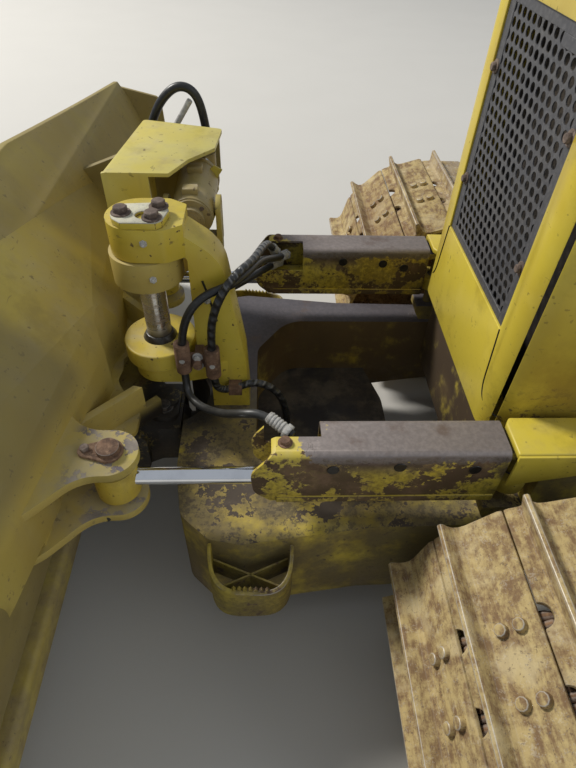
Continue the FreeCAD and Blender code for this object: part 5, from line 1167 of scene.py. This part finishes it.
class DOZER_OT_blade_gear(bpy.types.Operator):
    """Pins, flag plates, bolts, welds and the tilt cylinder's fittings on the blade"""

    bl_idname = "dozer.blade_gear"
    bl_label = "Fit Blade Gear"

    def execute(self, context):
        for side, sign in (("left", 1), ("right", -1)):
            outline = []
            for step in range(9):
                turn = math.radians(90 + 22.5 * step)
                outline.append((1.995 + 0.040 * math.cos(turn), 0.5 + 0.040 * math.sin(turn)))
            for step in range(9):
                turn = math.radians(-90 + 22.5 * step)
                outline.append((2.055 + 0.022 * math.cos(turn), 0.5 + 0.022 * math.sin(turn)))
            flag = plate("flag", [(u, v * sign) for u, v in outline], "XY", 0.868, 0.879)
            pin = edged(bar("pin_top", 0.032, (1.995, 0.5 * sign, 0.875), (1.995, 0.5 * sign, 0.894), 32), 0.004, 2)
            dressed(joined(f"angle_pin_flag_{side}", [edged(flag, 0.002, 1), pin]), "clamp", "blade")
            fastened(f"flag_bolt_{side}", "blade", "bolt", [(2.056, 0.5 * sign, 0.879)], radius=0.013, height=0.010, washer=0)
            # A black cylinder where the ear's hole is: painted shade for the hole.
            hole = bar("ear_hole", 0.013, (2.027, (0.5 + 0.0) * sign, 0.66), (2.027, (0.5 + 0.0795) * sign, 0.66), 20)
            dressed(edged(hole, 0.002, 1), "greasy", "blade")
            eye = softened(f"angle_rod_{side}", f"angle_rod_{side}_steel", "chrome", 0.003, 2)
            second(eye, "yellow_worn", lambda middle: middle.x > 1.925)
        rims = []
        for low, high, radius in ((-0.1650, -0.1625, 0.039), (-0.1645, -0.1600, 0.030), (-0.198, -0.186, 0.064)):
            rims.append(edged(bar("rim", radius, (1.81, low, 1.185), (1.81, high, 1.185), 40), 0.0015, 2))
        dressed(joined("tilt_end_rims", rims), "barrel", "tilt_barrel")
        fastened("tilt_end_bolts", "tilt_barrel", "bolt",
                 [(1.81 + 0.052 * math.cos(a), -0.1945, 1.185 + 0.052 * math.sin(a)) for a in (0.8, 2.35, 3.95, 5.5)],
                 (0, 1, 0), radius=0.008, height=0.006, washer=0)
        ports = [edged(block("port", (1.785, y - 0.02, 1.250), (1.835, y + 0.02, 1.272)), 0.004, 2) for y in (-0.235, -0.395)]
        dressed(joined("tilt_ports", ports), "barrel", "tilt_barrel")
        gland = bar("gland", 0.073, (1.81, -0.470, 1.185), (1.81, -0.497, 1.185), 40)
        dressed(edged(gland, 0.004, 2), "barrel", "tilt_barrel")
        rod = softened("tilt_rod", "tilt_rod_steel", "chrome", 0.003, 2)
        second(rod, "barrel", lambda middle: middle.y < -0.595)
        flag = plate("flag", [(1.775, -0.69), (1.845, -0.69), (1.845, -0.62), (1.83, -0.605), (1.79, -0.605), (1.775, -0.62)],
                     "XY", 1.260, 1.270)
        fastened("tilt_pin_bolts", "blade", "bolt", [(1.81, -0.65, 1.276)], radius=0.022, height=0.012, washer=0.030)
        dressed(edged(flag, 0.002, 1), "clamp", "blade")
        stay = bar("stay", 0.011, (1.945, -0.745, 1.225), (1.850, -0.745, 1.365), 16)
        dressed(edged(stay, 0.002, 1), "zinc", "blade")
        pipe = strand("tilt_pipe", [(2.020, -0.748, 1.235), (1.990, -0.748, 1.310), (1.945, -0.748, 1.375), (1.890, -0.748, 1.414),
                                    (1.835, -0.748, 1.398), (1.806, -0.745, 1.330), (1.797, -0.738, 1.250)], 0.016, sides=5)
        dressed(pipe, "hose", "blade")
        wavy = plate("wavy", [(1.722, 1.235), (1.742, 1.205), (1.738, 1.165), (1.752, 1.135), (1.748, 1.085), (1.775, 1.020),
                              (1.800, 1.055), (1.812, 1.140), (1.790, 1.215), (1.750, 1.250)], "XZ", -0.452, -0.444)
        holes = [bar("hole", 0.009, (x, -0.48, z), (x, -0.42, z), 16) for x, z in ((1.765, 1.165), (1.778, 1.105))]
        dressed(edged(bored(wavy, *holes), 0.0015, 1), "yellow_worn", "tilt_barrel")
        boss = [edged(bar("boss", r, (1.950, 0.030, 0.525), (1.950, 0.030, z), 28), 0.003, 2) for r, z in ((0.034, 0.545), (0.024, 0.556))]
        dressed(joined("socket_plug", boss), "iron", "blade")
        beads = []
        for sign in (-1, 1):
            beads.append(strand("bead", [(2.155, sign * 0.345, 0.842), (2.20, sign * 0.30, 0.842), (2.30, sign * 0.29, 0.842)], 0.006))
            beads.append(strand("bead", [(1.99, sign * 0.185, 0.562), (1.998, sign * 0.185, 0.545), (2.04, sign * 0.185, 0.60)], 0.004))
        dressed(joined("blade_welds", beads), "blade", "blade")
        for side, sign in (("left", 1), ("right", -1)):
            heads = [(2.576 - 0.0, sign * (0.18 + 0.24 * i), 0.10) for i in range(6)]
            turned = Vector((math.sin(math.radians(52)), 0, math.cos(math.radians(52))))
            heads = [(2.575 - 0.616 * 0.09 + 0.788 * 0.001, y, 0.015 + 0.788 * 0.09 + 0.616 * 0.001) for _, y, _ in heads]
            domes = [moved(dome("plough_bolt", 0.018, (0, 0, 0), 0.006), laid_out(place, turned)) for place in heads]
            dressed(smoothed(joined(f"edge_bolts_{side}", domes), 60), "edge_steel", "blade")
        return {"FINISHED"}


class DOZER_OT_covers(bpy.types.Operator):
    """Bolts, plugs, lips and end plates of the angle cylinders' covers"""

    bl_idname = "dozer.covers"
    bl_label = "Fit Covers"

    def execute(self, context):
        for side, sign in (("left", 1), ("right", -1)):
            body = f"angle_barrel_{side}"
            sheet = trimmed(cleaned_copy(f"angle_cover_{side}", f"angle_cover_{side}_steel"), (0.926, 0, 0), (-1, 0, 0))
            notch = sorted((sign * 0.425, sign * 0.500))
            bored(sheet, block("notch", (1.425, notch[0], 0.836), (1.578, notch[1], 0.945)))
            dressed(edged(sheet, 0.003), "cover", body, [f"angle_cover_{side}"])
            cap = plate("cap", [(0.660, 0.434), (0.898, 0.434), (0.911, 0.458), (0.911, 0.566), (0.660, 0.566)], "XY", 0.908, 0.931)
            skirt = plate("skirt", [(0.660, 0.860), (0.911, 0.800), (0.911, 0.926), (0.660, 0.926)], "XZ", 0.5645, 0.5735)
            bracket = joined(f"bracket_cap_{side}", [edged(cap, 0.006, 3), edged(skirt, 0.003, 2)])
            if sign < 0:
                moved(bracket, Matrix.Scale(-1, 4, (0, 1, 0)))
            dressed(bracket, "yellow", "c_frame")
            plugs = []
            for face, places in ((0.566, ((1.395, 0.871), (1.217, 0.880), (1.012, 0.868))),
                                 (0.434, ((1.266, 0.878), (1.106, 0.871), (1.018, 0.853)))):
                out = 1 if face > 0.5 else -1
                for x, z in places:
                    ring = bar("plug", 0.017, (x, face - out * 0.004, z), (x, face + out * 0.0025, z), 20)
                    plugs.append(edged(ring, 0.0012, 1))
            holes = joined(f"cover_plugs_{side}", plugs)
            if sign < 0:
                moved(holes, Matrix.Scale(-1, 4, (0, 1, 0)))
            dressed(holes, "greasy", body)
            fastened(f"cover_bolts_{side}", body, "clamp", [(1.522, sign * 0.520, 0.9285)],
                     radius=0.015, height=0.011, washer=0.020)
            lips = []
            for inner, outer in ((0.563, 0.571), (0.429, 0.437)):
                lips.append(edged(block("lip", (0.930, inner, 0.728), (1.545, outer, 0.752)), 0.002, 2))
            head = plate("head", [(0.442, 0.722), (0.558, 0.722), (0.558, 0.905), (0.540, 0.922), (0.460, 0.922), (0.442, 0.905)],
                         "YZ", 1.545, 1.553)
            bored(head, bar("rod_hole", 0.0265, (1.50, 0.5, 0.76), (1.60, 0.5, 0.76), 32),
                  block("hose_room", (1.50, 0.420, 0.836), (1.60, 0.500, 0.945)))
            lips.append(edged(head, 0.002, 1))
            trim = joined(f"cover_trim_{side}", lips)
            if sign < 0:
                moved(trim, Matrix.Scale(-1, 4, (0, 1, 0)))
            dressed(trim, "cover", body)
            wiper = bar("wiper", 0.034, (1.556, sign * 0.5, 0.76), (1.572, sign * 0.5, 0.76), 32, 0.029)
            bored(wiper, bar("rod_hole", 0.0262, (1.50, sign * 0.5, 0.76), (1.60, sign * 0.5, 0.76), 32))
            wiper.name = wiper.data.name = f"rod_wiper_{side}"
            dressed(smoothed(wiper), "seal", body)
        return {"FINISHED"}


class DOZER_OT_steps(bpy.types.Operator):
    """Folds the boarding steps with their crossed bars and toothed lips"""

    bl_idname = "dozer.steps"
    bl_label = "Fold Steps"

    def execute(self, context):
        outer, inner = [], []
        for i in range(23):
            turn = math.radians(8 * i + 2)
            flat = [abs(f(turn)) ** 0.62 * (1 if f(turn) > 0 else -1) for f in (math.cos, math.sin)]
            outer.append((1.617 - 0.128 * flat[0], 0.592 + 0.153 * flat[1]))
            inner.append((1.617 - 0.117 * flat[0], 0.592 + 0.141 * flat[1]))
        for side, sign in (("left", 1), ("right", -1)):
            band = plate("band", outer + inner[::-1], "XY", 0.372, 0.578)
            band = trimmed(band, (1.617, 0.744, 0.520), (-0.10, 0.40, 1.0))
            parts = [edged(band, 0.003, 2)]
            for start, end in (((1.505, 0.622), (1.712, 0.712)), ((1.525, 0.712), (1.732, 0.622))):
                along = (Vector(end) - Vector(start)).normalized() * 0.003
                corners = [(start[0] - along.y, start[1] + along.x), (end[0] - along.y, end[1] + along.x),
                           (end[0] + along.y, end[1] - along.x), (start[0] + along.y, start[1] - along.x)]
                parts.append(edged(plate("bar", corners, "XY", 0.420, 0.500), 0.0012, 1))
            for i in range(7):
                x = 1.569 + 0.016 * i
                foot = 0.5225 + 0.1 * (x - 1.617)
                tooth = [(x - 0.007, foot), (x + 0.007, foot), (x, foot + 0.012)]
                parts.append(edged(plate("tooth", tooth, "XZ", 0.724, 0.736), 0.001, 1))
            piece = joined(f"boarding_step_{side}_steel", parts)
            if sign < 0:
                moved(piece, Matrix.Scale(-1, 4, (0, 1, 0)))
            dressed(piece, "step", "c_frame", [f"boarding_step_{side}"])
        return {"FINISHED"}


class DOZER_OT_nose_gear(bpy.types.Operator):
    """Panel seams, louvres and latches of nose and hood"""

    bl_idname = "dozer.nose_gear"
    bl_label = "Fit Nose Gear"

    def execute(self, context):
        seams = []
        for sign in (1, -1):
            places = [(0.935, sign * 0.2835, 1.121), (0.935, sign * 0.296, 1.02), (0.935, sign * 0.305, 0.930),
                      (0.934, sign * 0.335, 0.893), (0.911, sign * 0.385, 0.878), (0.850, sign * 0.410, 0.876),
                      (0.750, sign * 0.410, 0.876), (0.642, sign * 0.410, 0.876)]
            seams.append(strand("seam", places, 0.0028))
        dressed(joined("panel_seams", seams), "greasy", "chassis")
        for side, sign in (("left", 1), ("right", -1)):
            slats = []
            for bank in (-0.30, 0.02):
                for i in range(8):
                    low = 1.44 + i * 0.042
                    if bank > 0 and low < 1.40:
                        continue
                    outline = [(0.4085, low), (0.4245, low + 0.004), (0.4245, low + 0.008), (0.4085, low + 0.026)]
                    slat = plate("slat", [(u * sign, v) for u, v in outline], "YZ", bank - 0.10, bank + 0.16)
                    slats.append(edged(slat, 0.0015, 1))
            dressed(joined(f"hood_louvres_{side}", slats), "panel", "chassis")
            latch = [edged(block("latch", (0.46, 0.409, z), (0.52, 0.424, z + 0.09)), 0.004, 2) for z in (1.05, 1.70)]
            piece = joined(f"hood_latches_{side}", latch)
            if sign < 0:
                moved(piece, Matrix.Scale(-1, 4, (0, 1, 0)))
            dressed(piece, "black", "chassis")
        return {"FINISHED"}


class DOZER_OT_cab_gear(bpy.types.Operator):
    """Lamps, rails, wiper and seat of the driver's cab"""

    bl_idname = "dozer.cab_gear"
    bl_label = "Fit Cab Gear"

    def cushion(self, name, low, high, lean=0.0):
        """A crowned seat pad with pulled-in sides, leaning about its foot."""
        low, high = Vector(low), Vector(high)
        pad = block(name, low, high)
        choose(pad)
        bpy.ops.object.mode_set(mode="EDIT")
        bpy.ops.mesh.select_all(action="SELECT")
        bpy.ops.mesh.subdivide(number_cuts=7)
        bpy.ops.object.mode_set(mode="OBJECT")
        middle, half = (low + high) / 2, (high - low) / 2
        for vertex in pad.data.vertices:
            share = [(vertex.co[i] - middle[i]) / half[i] for i in range(3)]
            for axis in range(3):
                others = [abs(share[i]) for i in range(3) if i != axis]
                pull = 1 - 0.10 * (max(others[0] ** 4, others[1] ** 4))
                vertex.co[axis] = middle[axis] + half[axis] * share[axis] * pull
            channel = min(abs(share[1] - 0.33), abs(share[1] + 0.33))
            vertex.co.z -= 0.010 * max(0, 1 - channel / 0.10) if share[2] > 0.8 else 0
        applied(pad, "SUBSURF", levels=1, render_levels=1)
        if lean:
            moved(pad, Matrix.Translation(low) @ Matrix.Rotation(lean, 4, "Y") @ Matrix.Translation(-low))
        return smoothed(pad, 60)

    def execute(self, context):
        seat = self.cushion("seat_cushion", (-1.40, -0.245, 1.432), (-0.905, 0.245, 1.555))
        dressed(seat, "fabric", "chassis", ["seat"])
        back = self.cushion("seat_back", (-1.455, -0.240, 1.52), (-1.345, 0.240, 2.055), -0.12)
        dressed(back, "fabric", "chassis")
        lenses, rims = [], []
        for x, y, out in ((-0.385, 0.52, 1), (-0.385, -0.52, 1), (-1.93, 0.48, -1), (-1.93, -0.48, -1)):
            lenses.append(smoothed(bar("lens", 0.054, (x, y, 2.992), (x + out * 0.006, y, 2.992), 32, 0.046)))
        dressed(joined("lamp_lenses", lenses), "lens", "chassis")
        softened("work_lamps", "work_lamp_cases", "black", 0.004, 2)
        for side, sign in (("left", 1), ("right", -1)):
            rail = strand("rail", [(-0.50, sign * 0.622, 1.45), (-0.50, sign * 0.665, 1.45), (-0.50, sign * 0.668, 1.50),
                                   (-0.52, sign * 0.668, 2.05), (-0.52, sign * 0.665, 2.10), (-0.52, sign * 0.622, 2.10)], 0.014, sides=5)
            rail.name = rail.data.name = f"grab_rail_{side}"
            dressed(rail, "black", "chassis")
        wiper = [strand("arm", [(-0.455, 0.05, 1.97), (-0.475, 0.12, 2.15), (-0.505, 0.20, 2.42)], 0.007),
                 strand("blade", [(-0.490, 0.16, 2.18), (-0.540, 0.26, 2.66)], 0.006)]
        dressed(joined("window_wiper", wiper), "black", "chassis")
        return {"FINISHED"}


class DOZER_OT_running_gear(bpy.types.Operator):
    """Finishes wheels, rods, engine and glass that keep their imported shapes"""

    bl_idname = "dozer.running_gear"
    bl_label = "Finish Running Gear"

    def execute(self, context):
        for stem, finish in (("sprocket", "track"), ("idler", "track"), ("lift_rod", "chrome"),
                             ("angle_link", "edge_steel"), ("door_glass", "glass")):
            for side in ("left", "right"):
                painted(f"{stem}_{side}", finish)
        for node, finish in (("engine_block", "iron"), ("radiator", "iron"), ("exhaust_stack", "black"),
                             ("air_precleaner", "black"), ("cab_glass", "glass"), ("seat_base", "grey"),
                             ("dashboard", "black")):
            painted(node, finish)
        return {"FINISHED"}


class DOZER_PT_panel(bpy.types.Panel):
    """Lists the steps that dress the machine"""

    bl_idname = "DOZER_PT_panel"
    bl_label = "Dozer"
    bl_space_type = "VIEW_3D"
    bl_region_type = "UI"
    bl_category = "Dozer"

    def draw(self, context):
        for step in STEPS:
            self.layout.operator(step.bl_idname)
        for settings in (context.scene.dozer_stage, context.scene.dozer_paint, context.scene.dozer_tracks):
            for key in settings.__annotations__:
                self.layout.prop(settings, key)


STEPS = (DOZER_OT_finishes, DOZER_OT_stage, DOZER_OT_hoses, DOZER_OT_bodywork, DOZER_OT_tracks, DOZER_OT_grille,
         DOZER_OT_tower, DOZER_OT_blade_gear, DOZER_OT_covers, DOZER_OT_steps, DOZER_OT_nose_gear, DOZER_OT_cab_gear,
         DOZER_OT_running_gear)
CLASSES = (DozerStage, DozerPaint, DozerTracks, *STEPS, DOZER_PT_panel)


def register():
    for item in CLASSES:
        bpy.utils.register_class(item)
    bpy.types.Scene.dozer_stage = PointerProperty(type=DozerStage)
    bpy.types.Scene.dozer_paint = PointerProperty(type=DozerPaint)
    bpy.types.Scene.dozer_tracks = PointerProperty(type=DozerTracks)


def unregister():
    for name in ("dozer_stage", "dozer_paint", "dozer_tracks"):
        delattr(bpy.types.Scene, name)
    for item in reversed(CLASSES):
        bpy.utils.unregister_class(item)


def main():
    register()
    for step in STEPS:
        group, action = step.bl_idname.split(".")
        getattr(getattr(bpy.ops, group), action)()


if __name__ == "__main__":
    main()
